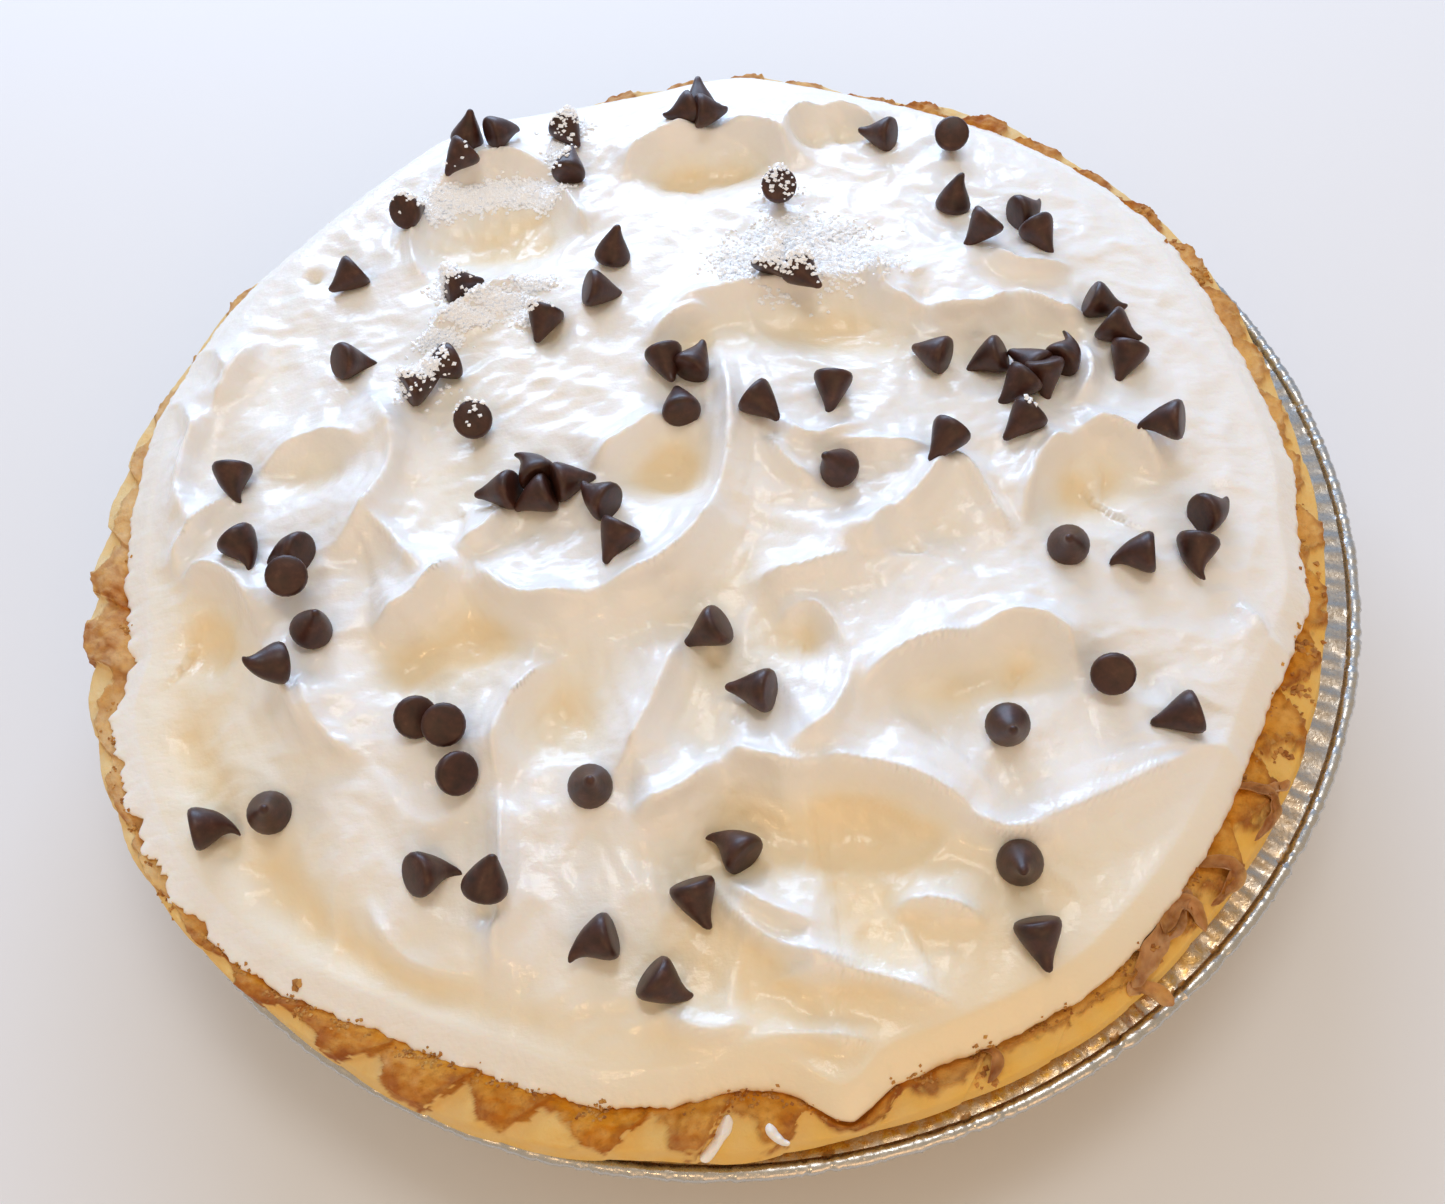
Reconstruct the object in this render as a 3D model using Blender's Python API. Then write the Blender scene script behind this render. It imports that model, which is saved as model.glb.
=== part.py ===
"""A chocolate mousse pie in its foil pan.

Three pieces: the foil pan, the crust with its crimped rim, and the whipped topping with the
chocolate chips that lie on it. Sizes are in millimetres and angles in degrees, counted
anticlockwise from +X as seen from above; meshes are made in metres. +Z is up and the origin is
the centre of the pan's base.
"""

import math

import bpy
import numpy as np
from mathutils import Vector
from mathutils.bvhtree import BVHTree

MM = 0.001

# Foil pan
PAN_RADIUS = 127.0
PAN_RIM_Z = 30.0
PAN_BASE_RADIUS = 90.0
PAN_CORNER_RISE = 2.4
PAN_WALL_TOP_RADIUS = 117.8
PAN_FOIL = 0.6
BEAD_RADIUS = 1.25
BEAD_RISE = 1.1
FLANGE_DROP = 0.1
BEAD_GAP = 0.1
CORNER_SPREAD = 0.5
WALL_SHARE = 0.4
PAN_SEGMENTS = 60
BEAD_ANGLES = (215, 270, 325, 20, 75, 130)

# Crust
PAN_GAP = 0.45
CRUST_RADIUS = 127.0
CRUST_DENT = 8.0
CRUST_LEDGE_Z = 37.2
LEDGE_DENT_DROP = 1.6
CRUST_CREST = 2.4
FULL_BAND = 9.0
UNDERSIDE_INSET = 1.3
UNDERSIDE_RISE = 1.0
CLEAR_OF_BEAD = (120.5, 123.7)
WALL_CLEARANCE = 0.3
SIDE_SHARE = 0.45
LEAST_BAND_SHARE = 0.35
FLUTES = 50
FOLD_ANGLE = 179.3
FOLD_LEAN = 0.42
FLUTE_HEIGHT = 1.3
FLUTE_REACH = 1.1
FLUTE_UNEVEN = 0.35
UNEVEN_SEED = 6
# Places of a ring's points in each flute; the fold is at 1.
FLUTE_PHASES = (0.03, 0.3, 0.6, 0.82, 0.965)
# Rings of the rim, from the outer one inward: place across the rim, then how much of the crest's
# height, of the notches and of the crimps' height each has.
RIM_SECTION = (
    (0.84, 0.5, 0.8, 0.7), (0.58, 0.9, 0.3, 1.0), (0.3, 1.0, 0.0, 0.9), (0.02, 0.7, 0.0, 0.45),
)

# By angle: how strongly the rim is crimped, how far its outline is notched, how high it stands
# and how many degrees its folds lie from even places.
CRIMPS = (
    (10, 0.4), (40, 0.5), (75, 0.5), (105, 0.2), (155, 0.2), (178, 0.45), (205, 0.55), (225, 0.8),
    (255, 0.9), (282, 0.8), (298, 0.4), (330, 0.35), (350, 0.4),
)
NOTCHES = (
    (20, 0.4), (60, 0.6), (105, 0.5), (155, 0.9), (178, 1.4), (205, 1.3), (220, 0.7), (230, 0.3),
    (280, 0.3), (330, 0.3),
)
CRESTS = (
    (10, 0.8), (40, 0.8), (75, 0.5), (105, 0.0), (155, 0.0), (175, 0.8), (200, 1.0), (280, 1.0),
    (300, 0.9), (350, 0.8),
)
FOLD_SHIFT = ((180, 0.0), (227, 1.0), (241, 2.2), (249, 0.9), (257, 1.7), (277, -0.6), (300, 0.0))

# Outer edge of the crust: angle and radius. It is drawn in from the pan on the right.
CRUST_EDGE = (
    (3, 119.2), (10, 120.3), (18, 121.9), (28, 123.8), (43, 124.5), (50, 126.0), (57, 125.6),
    (63, 123.9), (68, 123.6), (74, 125.6), (84, 126.6), (91, 125.2), (97, 125.0), (103, 123.2),
    (114, 126.2), (124, 124.6), (137, 122.8), (147, 124.8), (156, 124.2), (165, 125.4),
    (178, 125.8), (190, 126.6), (205, 127.2), (220, 126.6), (228, 125.6), (236, 125.8),
    (246, 126.3), (255, 125.8), (261, 124.4), (266, 124.8), (274, 123.1), (285, 122.5),
    (297, 122.3), (305, 121.3), (312, 120.7), (325, 120.0), (340, 119.3), (355, 119.2),
)

# Topping
TOPPING_GAP = 0.5
DOME_EDGE_Z = 43.0
DOME_RISE = 9.0
DOME_RADIUS = 112.0
ROUND_OVER = 5.5
SHOULDER_INSET = 1.9
FOOT_INSET = 1.0
BASE_INSET = 4.0
LIFT_BAND = (35.0, 5.0)
RELIEF_BAND = (2.0, 12.0)
GRID = 34
TOPPING_BASE_POINTS = 40

# Edge of the topping: angle and radius where it meets the crust.
TOPPING_EDGE = (
    (2, 113.5), (10, 113.6), (18, 115.3), (28, 118.5), (40, 119.5), (60, 118.8), (74, 119.0),
    (82, 120.8), (92, 117.8), (104, 118.9), (115, 121.8), (126, 120.4), (138, 119.9),
    (148, 121.2), (157, 120.6), (165, 121.5), (172, 119.8), (183, 118.6), (192, 117.6),
    (198, 123.0), (205, 124.1), (211, 124.9), (218, 124.3), (226, 122.8), (236, 119.0),
    (247, 117.7), (256, 118.3), (262, 116.8), (267, 114.9), (271, 115.9), (275, 121.2),
    (279, 117.5), (284, 116.9), (296, 117.2), (303, 115.8), (311, 113.9), (326, 111.2),
    (334, 112.8), (340, 114.4), (347, 112.8),
    (354, 113.9),
)
# How much the topping's edge is heaped up or spread thin, by angle.
EDGE_LIFT = (
    (10, 0.5), (45, 0.5), (66, 0.7), (78, 2.9), (88, 3.0), (100, 1.5), (116, 3.5), (135, 1.0),
    (175, -0.5),
    (195, -2.0), (235, -2.0), (258, -1.0), (272, 0.0), (290, 0.5), (330, 1.0),
)

# How thin the topping's edge runs out, by angle.
EDGE_THIN = (
    (10, 0.3), (70, 0.2), (150, 0.2), (190, 0.8), (215, 1.0), (245, 1.0), (258, 0.6), (268, 0.3),
    (282, 0.4), (300, 0.1), (340, 0.1),
)

# Strokes of the spatula: start, middle and end of each crest as x, y, then height and width.
# The side on the right of the direction of travel is the steep one, with a scoop before it.
BACK_LENGTH = 0.5
FRONT_LENGTH = 0.2
SCOOP_PLACE = 0.7
SCOOP_DEPTH = 0.35
STROKES = (
    (-47, -15, -38, -28, -22, -29, 6.5, 16),
    (-28, -30, -8, -24, 1, -8, 6.5, 16),
    (4, 26, 4, 3, -1, -14, 4.5, 12),
    (-24, -1, -15, 5, -6, 12, 5.0, 11),
    (-10, 28, -4, 35, 5, 36, 3.5, 9),
    (-66, -29, -56, -25, -49, -15, 6.5, 14),
    (-50, -14, -44, -13, -40, -5, 4.0, 9),
    (-68, -4, -61, -12, -56, -21, 3.5, 10),
    (-75, -14, -62, 7, -70, 27, 6.5, 16),
    (-92, 9, -80, 17, -67, 11, 2.5, 10),
    (-107, -12, -93, -15, -86, -31, 7.0, 15),
    (-87, -28, -81, -39, -75, -52, 4.5, 13),
    (-106, -11, -103, -2, -93, 6, 4.0, 9),
    (-103, 0, -107, 14, -102, 31, 4.0, 9),
    (-103, 29, -98, 38, -93, 49, 3.5, 10),
    (-115, 41, -109, 31, -104, 21, 2.5, 7),
    (-112, 56, -104, 46, -99, 35, 2.5, 8),
    (-42, -63, -40, -49, -29, -39, 5.0, 12),
    (-42, -62, -42, -79, -45, -95, 3.0, 8),
    (-23, -65, -14, -51, -8, -36, 5.0, 14),
    (-20, -70, -11, -68, -3, -61, 5.5, 13),
    (-4, -61, 3, -64, 12, -67, 5.0, 12),
    (7, -66, 24, -68, 41, -80, 6.5, 15),
    (35, -76, 42, -80, 50, -80, 3.0, 7),
    (-7, -83, 2, -94, 16, -98, 3.0, 8),
    (-5, -82, 1, -88, 10, -92, 2.5, 6),
    (21, -91, 28, -90, 37, -94, 3.0, 7),
    (21, -54, 31, -47, 46, -45, 5.5, 12),
    (41, -45, 55, -43, 60, -54, 5.5, 12),
    (7, -61, 16, -58, 21, -46, 4.0, 11),
    (8, -38, 16, -36, 20, -46, 3.5, 8),
    (56, -24, 62, -9, 72, -4, 5.5, 13),
    (69, -4, 79, -3, 86, -14, 5.0, 11),
    (54, -26, 50, -14, 45, -5, 3.5, 9),
    (4, -29, 15, -29, 26, -26, 4.5, 12),
    (27, -27, 29, -21, 35, -17, 4.5, 10),
    (33, -19, 39, -14, 45, -6, 5.0, 11),
    (15, 7, 19, 0, 31, 3, 2.5, 6),
    (11, 2, 14, -5, 20, -11, 3.0, 7),
    (21, -1, 32, -3, 43, -4, 3.0, 9),
    (40, 49, 39, 36, 48, 32, 5.0, 12),
    (45, 33, 57, 29, 68, 36, 5.0, 12),
    (66, 37, 73, 30, 81, 29, 3.5, 8),
    (63, 48, 69, 41, 81, 43, 3.5, 8),
    (71, 4, 77, 12, 77, 23, 2.5, 7),
    (-14, 82, -5, 93, 10, 94, 5.0, 13),
    (5, 94, 20, 92, 25, 80, 4.5, 12),
    (24, 85, 27, 96, 36, 98, 4.0, 9),
    (33, 98, 41, 98, 47, 91, 3.5, 8),
    (-28, 82, -25, 74, -21, 65, 4.0, 10),
    (-59, 79, -45, 93, -27, 85, 4.5, 12),
    (-58, 37, -48, 46, -33, 55, 3.5, 10),
    (-57, 56, -61, 68, -58, 81, 3.0, 10),
    (-6, 38, 16, 42, 42, 41, 3.0, 11),
    (42, -80, 58, -76, 81, -67, 3.0, 13),
    (86, -62, 95, -52, 91, -41, 3.5, 9),
    (89, -60, 86, -67, 74, -68, 2.5, 7),
    (-77, -37, -74, -48, -65, -55, 2.5, 8),
    (-65, -79, -59, -89, -47, -93, 2.0, 7),
    (0, -100, 15, -100, 33, -109, 3.0, 8),
    (-10, -110, 4, -108, 20, -112, 2.0, 6),
    (-17, -101, -11, -106, -2, -105, 2.5, 7),
)

# Hollows and swells of the topping: x, y, half length along x, half length along y, rise.
BOWLS = (
    (-42, 69, 16, 13, -4.5), (-80, 9, 13, 7, -3.0), (-97, -27, 9, 8, -3.0),
    (-89, -31, 4, 8, -1.5), (-60, -36, 7, 7, -2.5), (-43, -33, 9, 6, -2.0),
    (-61, 5, 5, 13, -2.0), (-9, 0, 9, 8, -3.5), (-26, -50, 9, 10, -3.0),
    (13, -41, 6, 4, -2.0), (-2, 27, 5, 7, -2.5), (72, -13, 10, 8, -3.5),
    (54, -15, 4, 9, -1.5), (16, -76, 20, 8, -4.5), (44, -52, 15, 5, -3.5),
    (5, 84, 15, 7, -4.0), (34, 92, 9, 4, -2.5), (25, 31, 26, 7, -2.5),
    (57, 42, 19, 12, 2.5), (25, -22, 5, 5, 2.5), (-31, 37, 6, 5, -2.0),
    (-84, 65, 2, 2, -2.5), (72, -55, 3, 4, -1.4), (-44, -84, 3, 2, -2.0),
    (-3, -43, 3, 3, -1.5),
)
# Shallow groove along the lower left edge.
GROOVE_RADIUS = 110.0
GROOVE_WIDTH = 7.0
GROOVE_DEPTH = 2.2
GROOVE_FROM = 203.0
GROOVE_TO = 252.0

# Chocolate chips: a drop with a round base and a drawn-out tip.
CHIP_PROFILE = ((3.4, 0.0), (3.9, 1.5), (1.8, 5.8))
CHIP_HEIGHT = 8.6
CHIP_SIDES = 6
CHIP_SUNK = 1.0

# Each chip: x, y, the way its tip points, and its tilt (0 tip up, 90 on its side, 180 tip down).
CHIPS = (
    (-75, 60, 215, 105), (-61, 77, 60, 125), (-50, 90, 217, 110), (-48, 100, 35, 25),
    (-40, 98, 30, 100), (-49, 51, 17, 105), (-32, 39, 244, 118), (-72, 35, 30, 128),
    (-57, 25, 30, 100), (-53, 29, 210, 80), (-25, 98, 298, 105), (-25, 86, 81, 80),
    (2, 98, 198, 105), (8, 97, 6, 105), (6, 102, 90, 60), (21, 69, 84, 150),
    (17, 45, 60, 60), (23, 40, 300, 90), (-16, 56, 50, 20), (-19, 44, 2, 118),
    (46, 88, 149, 105), (62, 84, 77, 148), (59, 64, 66, 18), (62, 51, 210, 130),
    (74, 58, 17, 100), (75, 50, 288, 105), (84, 30, 337, 108), (85, 22, 315, 105),
    (85, 15, 242, 118), (-95, 8, 265, 110), (-90, -10, 308, 105), (-81, -12, 156, 105),
    (-80, -19, 109, 150), (-75, -29, 4, 28), (-82, -38, 200, 60), (-46, 14, 98, 152),
    (-41, -4, 169, 108), (-34, 0, 108, 92), (-34, -7, 191, 105), (-27, -4, 17, 105),
    (-22, -10, 139, 100), (-19, -20, 235, 115), (-7, 22, 279, 108), (-1, 22, 59, 90),
    (-5, 12, 95, 95), (11, 7, 314, 105), (25, 11, 258, 115), (23, -8, 200, 25),
    (44, -6, 229, 105), (-4, -39, 190, 122), (46, 19, 146, 100), (57, 17, 175, 122),
    (65, 15, 124, 95), (67, 10, 275, 140), (61, 8, 216, 115), (60, -1, 215, 112),
    (73, 16, 45, 90), (86, -5, 158, 112), (92, -23, 18, 105), (86, -32, 247, 105),
    (75, -31, 168, 105), (63, -29, 250, 22), (-57, -48, 123, 138), (-51, -51, 103, 150),
    (-50, -60, 144, 130), (-94, -62, 16, 105), (-83, -62, 300, 20), (-54, -76, 29, 128),
    (-43, -80, 60, 42), (-26, -66, 285, 18), (3, -51, 160, 105), (-3, -77, 127, 100),
    (-10, -86, 282, 116), (-27, -91, 189, 100), (-16, -99, 322, 118), (45, -64, 262, 40),
    (65, -54, 75, 132), (75, -63, 185, 105), (43, -86, 250, 24), (44, -98, 274, 114),
)

FOIL_COLOUR = (0.72, 0.72, 0.73, 1.0)
CRUST_COLOUR = (0.72, 0.46, 0.20, 1.0)
TOPPING_COLOUR = (0.92, 0.87, 0.80, 1.0)


def clear_scene():
    for thing in list(bpy.data.objects):
        bpy.data.objects.remove(thing, do_unlink=True)


def material(name, colour, roughness, metallic=0.0):
    made = bpy.data.materials.new(name)
    made.use_nodes = True
    shader = made.node_tree.nodes["Principled BSDF"]
    shader.inputs["Base Color"].default_value = colour
    shader.inputs["Roughness"].default_value = roughness
    shader.inputs["Metallic"].default_value = metallic
    made.diffuse_color = colour
    return made


def mesh_object(name, points, faces, surface):
    """An object of these points, in millimetres, with smooth shading but sharp folds."""
    mesh = bpy.data.meshes.new(name)
    mesh.from_pydata((np.asarray(points) * MM).tolist(), [], faces)
    mesh.shade_smooth()
    mesh.set_sharp_from_angle(angle=math.radians(40))
    mesh.materials.append(surface)
    made = bpy.data.objects.new(name, mesh)
    bpy.context.scene.collection.objects.link(made)
    return made


def polar(radius, angle, height):
    """Points of a ring from radius, angle in degrees and height, each a number or an array."""
    turn = np.radians(angle)
    height = np.broadcast_to(height, np.shape(turn))
    return np.stack([radius * np.cos(turn), radius * np.sin(turn), height], axis=-1)


def zip_rings(lower, lower_start, upper, upper_start):
    """Triangles between two rings that may have different numbers of points."""
    faces = []
    i = j = 0
    while i < lower or j < upper:
        a = lower_start + i % lower
        b = upper_start + j % upper
        if j == upper or (i < lower and (i + 1) * upper <= (j + 1) * lower):
            faces.append((a, lower_start + (i + 1) % lower, b))
            i += 1
        else:
            faces.append((a, upper_start + (j + 1) % upper, b))
            j += 1
    return faces


def turned(rings, first_pole, last_pole):
    """Points and faces of a closed skin from one pole over all the rings to the other pole."""
    points = [np.array([first_pole], float)]
    starts = []
    total = 1
    for ring in rings:
        starts.append(total)
        total += len(ring)
        points.append(ring)
    points.append(np.array([last_pole], float))
    first, last = len(rings[0]), len(rings[-1])
    faces = [(0, starts[0] + (k + 1) % first, starts[0] + k) for k in range(first)]
    for k in range(len(rings) - 1):
        faces += zip_rings(len(rings[k]), starts[k], len(rings[k + 1]), starts[k + 1])
    faces += [(total, starts[-1] + k, starts[-1] + (k + 1) % last) for k in range(last)]
    return np.concatenate(points), faces


def smooth_step(low, high, value):
    share = np.clip((value - low) / (high - low), 0, 1)
    return share * share * (3 - 2 * share)


def around(pairs, angle):
    """Smooth value at an angle from (angle, value) pairs that go once round."""
    knots = np.array(pairs, float)
    turns = np.concatenate([knots[-2:, 0] - 360, knots[:, 0], knots[:2, 0] + 360])
    values = np.concatenate([knots[-2:, 1], knots[:, 1], knots[:2, 1]])
    angle = np.mod(angle, 360)
    k = np.clip(np.searchsorted(turns, angle, side="right") - 1, 1, len(turns) - 3)
    width = turns[k + 1] - turns[k]
    share = (angle - turns[k]) / width
    start = (values[k + 1] - values[k - 1]) / (turns[k + 1] - turns[k - 1]) * width
    end = (values[k + 2] - values[k]) / (turns[k + 2] - turns[k]) * width
    square, cube = share**2, share**3
    return (
        (2 * cube - 3 * square + 1) * values[k]
        + (cube - 2 * square + share) * start
        + (3 * square - 2 * cube) * values[k + 1]
        + (cube - square) * end
    )


# Foil pan


def pan_profile():
    """Radius and height from the outer base edge, round the bead, to the inner base edge."""
    flange_z = PAN_RIM_Z - FLANGE_DROP
    bead_centre = PAN_RADIUS - BEAD_RADIUS
    flange_end = bead_centre - BEAD_RADIUS - BEAD_GAP
    corner = PAN_BASE_RADIUS + PAN_CORNER_RISE
    outer = [
        (PAN_BASE_RADIUS, 0.0),
        (corner + CORNER_SPREAD, PAN_CORNER_RISE),
        (PAN_WALL_TOP_RADIUS, flange_z - PAN_FOIL),
        (flange_end, flange_z - PAN_FOIL),
    ]
    bead = [
        (
            bead_centre + BEAD_RADIUS * math.cos(math.radians(a)),
            PAN_RIM_Z + BEAD_RISE * math.sin(math.radians(a)),
        )
        for a in BEAD_ANGLES
    ]
    inner = [
        (flange_end, flange_z),
        (PAN_WALL_TOP_RADIUS - WALL_SHARE * PAN_FOIL, flange_z),
        (corner - WALL_SHARE * PAN_FOIL, PAN_CORNER_RISE + PAN_FOIL / 2),
        (PAN_BASE_RADIUS - PAN_FOIL / 2, PAN_FOIL),
    ]
    return outer + bead + inner


def make_pan(surface):
    angles = np.arange(PAN_SEGMENTS) * 360.0 / PAN_SEGMENTS
    rings = [polar(radius, angles, height) for radius, height in pan_profile()]
    points, faces = turned(rings, (0, 0, 0), (0, 0, PAN_FOIL))
    return mesh_object("pan", points, faces, surface)


# Crust


def crust_radius(angle):
    return around(CRUST_EDGE, angle)


def dent(angle):
    """How far the rim is drawn in from the pan, from 0 to 1."""
    return np.clip((CRUST_RADIUS - crust_radius(angle)) / CRUST_DENT, 0, 1)


def ledge_z(angle):
    """Height of the crust under the topping's edge."""
    return CRUST_LEDGE_Z - LEDGE_DENT_DROP * dent(angle)


def flute_phases():
    """How many flutes come before each point of a rim ring, with its place in its own."""
    return (np.arange(FLUTES)[:, None] + np.array(FLUTE_PHASES)).ravel()


def flute_angle(phase, across):
    """Angles of these phases; the folds lean as they run outward."""
    angle = FOLD_ANGLE + (phase - FOLD_LEAN * max(0.0, across)) * 360 / FLUTES
    return angle + around(FOLD_SHIFT, angle)


def petal(phase):
    """Height along one crimp, from -1 to about 1: it rises slowly and falls at the fold."""
    uneven = 1 + FLUTE_UNEVEN * np.random.default_rng(UNEVEN_SEED).uniform(-1, 1, FLUTES)
    place, number = phase % 1, np.floor(phase).astype(int) % FLUTES
    rise = smooth_step(0.0, 0.8, place) * (1 - smooth_step(0.97, 1.0, place))
    return 2 * rise * uneven[number] - 1


def lobe(phase):
    """Outline along one crimp, from -1 at its folds to 1 between them."""
    return 2 * np.sin(math.pi * (phase % 1)) ** 0.6 - 1


def crust_ring(phase, across, lift, reach, height):
    """A ring of the rim: across runs from 0 at the topping's edge to 1 at the outer edge."""
    angle = flute_angle(phase, across)
    inner, outer = around(TOPPING_EDGE, angle) + TOPPING_GAP, crust_radius(angle)
    band = outer - inner
    full = np.clip(band / FULL_BAND, LEAST_BAND_SHARE, 1)
    crimp = petal(phase) * around(CRIMPS, angle)
    notch = FLUTE_REACH * (0.6 * lobe(phase) + 0.4 * petal(phase)) * around(NOTCHES, angle)
    radius = inner + across * band + reach * notch * full
    rise = lift * CRUST_CREST * around(CRESTS, angle) + height * FLUTE_HEIGHT * crimp
    return polar(radius, angle, ledge_z(angle) + full * rise)


def underside_ring(angle):
    """Where the rim rests on the flange, or on the bead where it reaches that far."""
    radius = np.maximum(crust_radius(angle) - UNDERSIDE_INSET, PAN_WALL_TOP_RADIUS - PAN_GAP)
    on_flange = PAN_RIM_Z - FLANGE_DROP + UNDERSIDE_RISE
    on_bead = PAN_RIM_Z + BEAD_RISE + PAN_GAP
    z = on_flange + (on_bead - on_flange) * smooth_step(*CLEAR_OF_BEAD, radius)
    return polar(radius, angle, z)


def make_crust(surface):
    phase = flute_phases()
    edge = flute_angle(phase, 1.0)
    coarse = flute_angle(np.arange(FLUTES), 1.0)
    wall_top = PAN_WALL_TOP_RADIUS - WALL_SHARE * PAN_FOIL - PAN_GAP - WALL_CLEARANCE
    base_radius = PAN_BASE_RADIUS - PAN_GAP
    base_z = PAN_FOIL + PAN_GAP
    side = underside_ring(edge)
    outermost = crust_ring(phase, 1.0, 0.0, 1.0, 0.0)
    outermost[:, 2] = SIDE_SHARE * side[:, 2] + (1 - SIDE_SHARE) * ledge_z(edge)
    inner = flute_angle(phase, 0.0)
    rings = [
        polar(base_radius, coarse, base_z),
        polar(base_radius + PAN_CORNER_RISE, coarse, PAN_CORNER_RISE + base_z),
        polar(wall_top, coarse, PAN_RIM_Z - FLANGE_DROP + WALL_CLEARANCE),
        side,
        outermost,
        *(crust_ring(phase, *shape) for shape in RIM_SECTION),
        polar(around(TOPPING_EDGE, inner), inner, ledge_z(inner)),
    ]
    points, faces = turned(rings, (0, 0, base_z), (0, 0, CRUST_LEDGE_Z))
    return mesh_object("crust", points, faces, surface)


# Topping


def curve_points(x0, y0, x1, y1, x2, y2, count=12):
    """Points along the parabola through three points."""
    t = np.linspace(0, 1, count)
    start, middle, end = 2 * (t - 0.5) * (t - 1), 4 * t * (1 - t), 2 * t * (t - 0.5)
    return start * x0 + middle * x1 + end * x2, start * y0 + middle * y1 + end * y2


def stroke_rise(x, y, stroke):
    """Height that one stroke of the spatula adds: a soft back, a crest and a steep front."""
    path_x, path_y = curve_points(*stroke[:6])
    height, width = stroke[6:]
    nearest = np.full(np.shape(x), 1e9)
    side = np.zeros(np.shape(x))
    along = np.zeros(np.shape(x))
    for k in range(len(path_x) - 1):
        dx, dy = path_x[k + 1] - path_x[k], path_y[k + 1] - path_y[k]
        share = np.clip(((x - path_x[k]) * dx + (y - path_y[k]) * dy) / (dx**2 + dy**2), 0, 1)
        off_x, off_y = x - path_x[k] - share * dx, y - path_y[k] - share * dy
        gap = np.hypot(off_x, off_y)
        closer = gap < nearest
        nearest = np.where(closer, gap, nearest)
        side = np.where(closer, dx * off_y - dy * off_x, side)
        along = np.where(closer, (k + share) / (len(path_x) - 1), along)
    crest = np.exp(-nearest / (width * np.where(side > 0, BACK_LENGTH, FRONT_LENGTH)))
    off = nearest / (SCOOP_PLACE * width)
    scoop = np.where(side > 0, 0, SCOOP_DEPTH * off**2 * np.exp(2 * (1 - off)))
    taper = smooth_step(-0.05, 0.3, along) * smooth_step(1.05, 0.7, along)
    return height * taper * (crest - scoop)


def bowl_rise(x, y, bowl):
    centre_x, centre_y, half_x, half_y, rise = bowl
    off = np.hypot((x - centre_x) / half_x, (y - centre_y) / half_y)
    return rise * np.exp(-(off**2) * 1.3)


def groove_rise(x, y):
    angle = np.mod(np.degrees(np.arctan2(y, x)), 360)
    off = (np.hypot(x, y) - GROOVE_RADIUS) / GROOVE_WIDTH
    inside = smooth_step(GROOVE_FROM - 8, GROOVE_FROM + 8, angle)
    inside = inside * (1 - smooth_step(GROOVE_TO - 8, GROOVE_TO + 8, angle))
    return -GROOVE_DEPTH * inside * np.exp(-2 * off**2)


def topping_z(x, y):
    """Height of the topping's upper face."""
    x, y = np.asarray(x, float), np.asarray(y, float)
    radius = np.hypot(x, y)
    z = DOME_EDGE_Z + DOME_RISE * (1 - (radius / DOME_RADIUS) ** 2)
    relief = groove_rise(x, y)
    for stroke in STROKES:
        relief = relief + stroke_rise(x, y, stroke)
    for bowl in BOWLS:
        relief = relief + bowl_rise(x, y, bowl)
    angle = np.degrees(np.arctan2(y, x))
    inward = around(TOPPING_EDGE, angle) - radius
    lift = around(EDGE_LIFT, angle) * smooth_step(*LIFT_BAND, inward)
    return z + lift + relief * smooth_step(*RELIEF_BAND, inward)


def disc_grid(count):
    """A square grid bent into a unit disc: radius, angle, faces, and the rim's points in order."""
    line = np.linspace(-1, 1, count + 1)
    across, up = np.meshgrid(line, line, indexing="ij")
    wide = np.abs(across) > np.abs(up)
    big = np.where(wide, across, up)
    small = np.where(wide, up, across)
    turn = np.degrees(math.pi / 4 * small / np.where(big == 0, 1, big))
    angle = np.where(wide, turn, 90 - turn) + np.where(big < 0, 180, 0)
    row = count + 1
    faces = []
    for i in range(count):
        for j in range(count):
            a, b, c, d = i * row + j, (i + 1) * row + j, (i + 1) * row + j + 1, i * row + j + 1
            if (i < count // 2) == (j < count // 2):
                faces += [(a, b, c), (a, c, d)]
            else:
                faces += [(a, b, d), (b, c, d)]
    half = count // 2
    rim = [count * row + j for j in range(half, count)]
    rim += [i * row + count for i in range(count, 0, -1)]
    rim += [j for j in range(count, 0, -1)]
    rim += [i * row for i in range(count)]
    rim += [count * row + j for j in range(half)]
    return np.abs(big).ravel(), angle.ravel(), faces, rim


def topping_skirt(angle, top_z):
    """Rings from the topping's shoulder round to its lower edge, and one under it."""
    edge, thin = around(TOPPING_EDGE, angle), around(EDGE_THIN, angle)
    foot_z = ledge_z(angle) + TOPPING_GAP
    tall = top_z - foot_z
    shoulder = polar(edge - SHOULDER_INSET, angle, top_z - (0.28 + 0.14 * thin) * tall)
    belly = polar(edge, angle, top_z - (0.58 + 0.12 * thin) * tall)
    foot = polar(edge - FOOT_INSET, angle, foot_z)
    return [shoulder, belly, foot]


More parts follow.
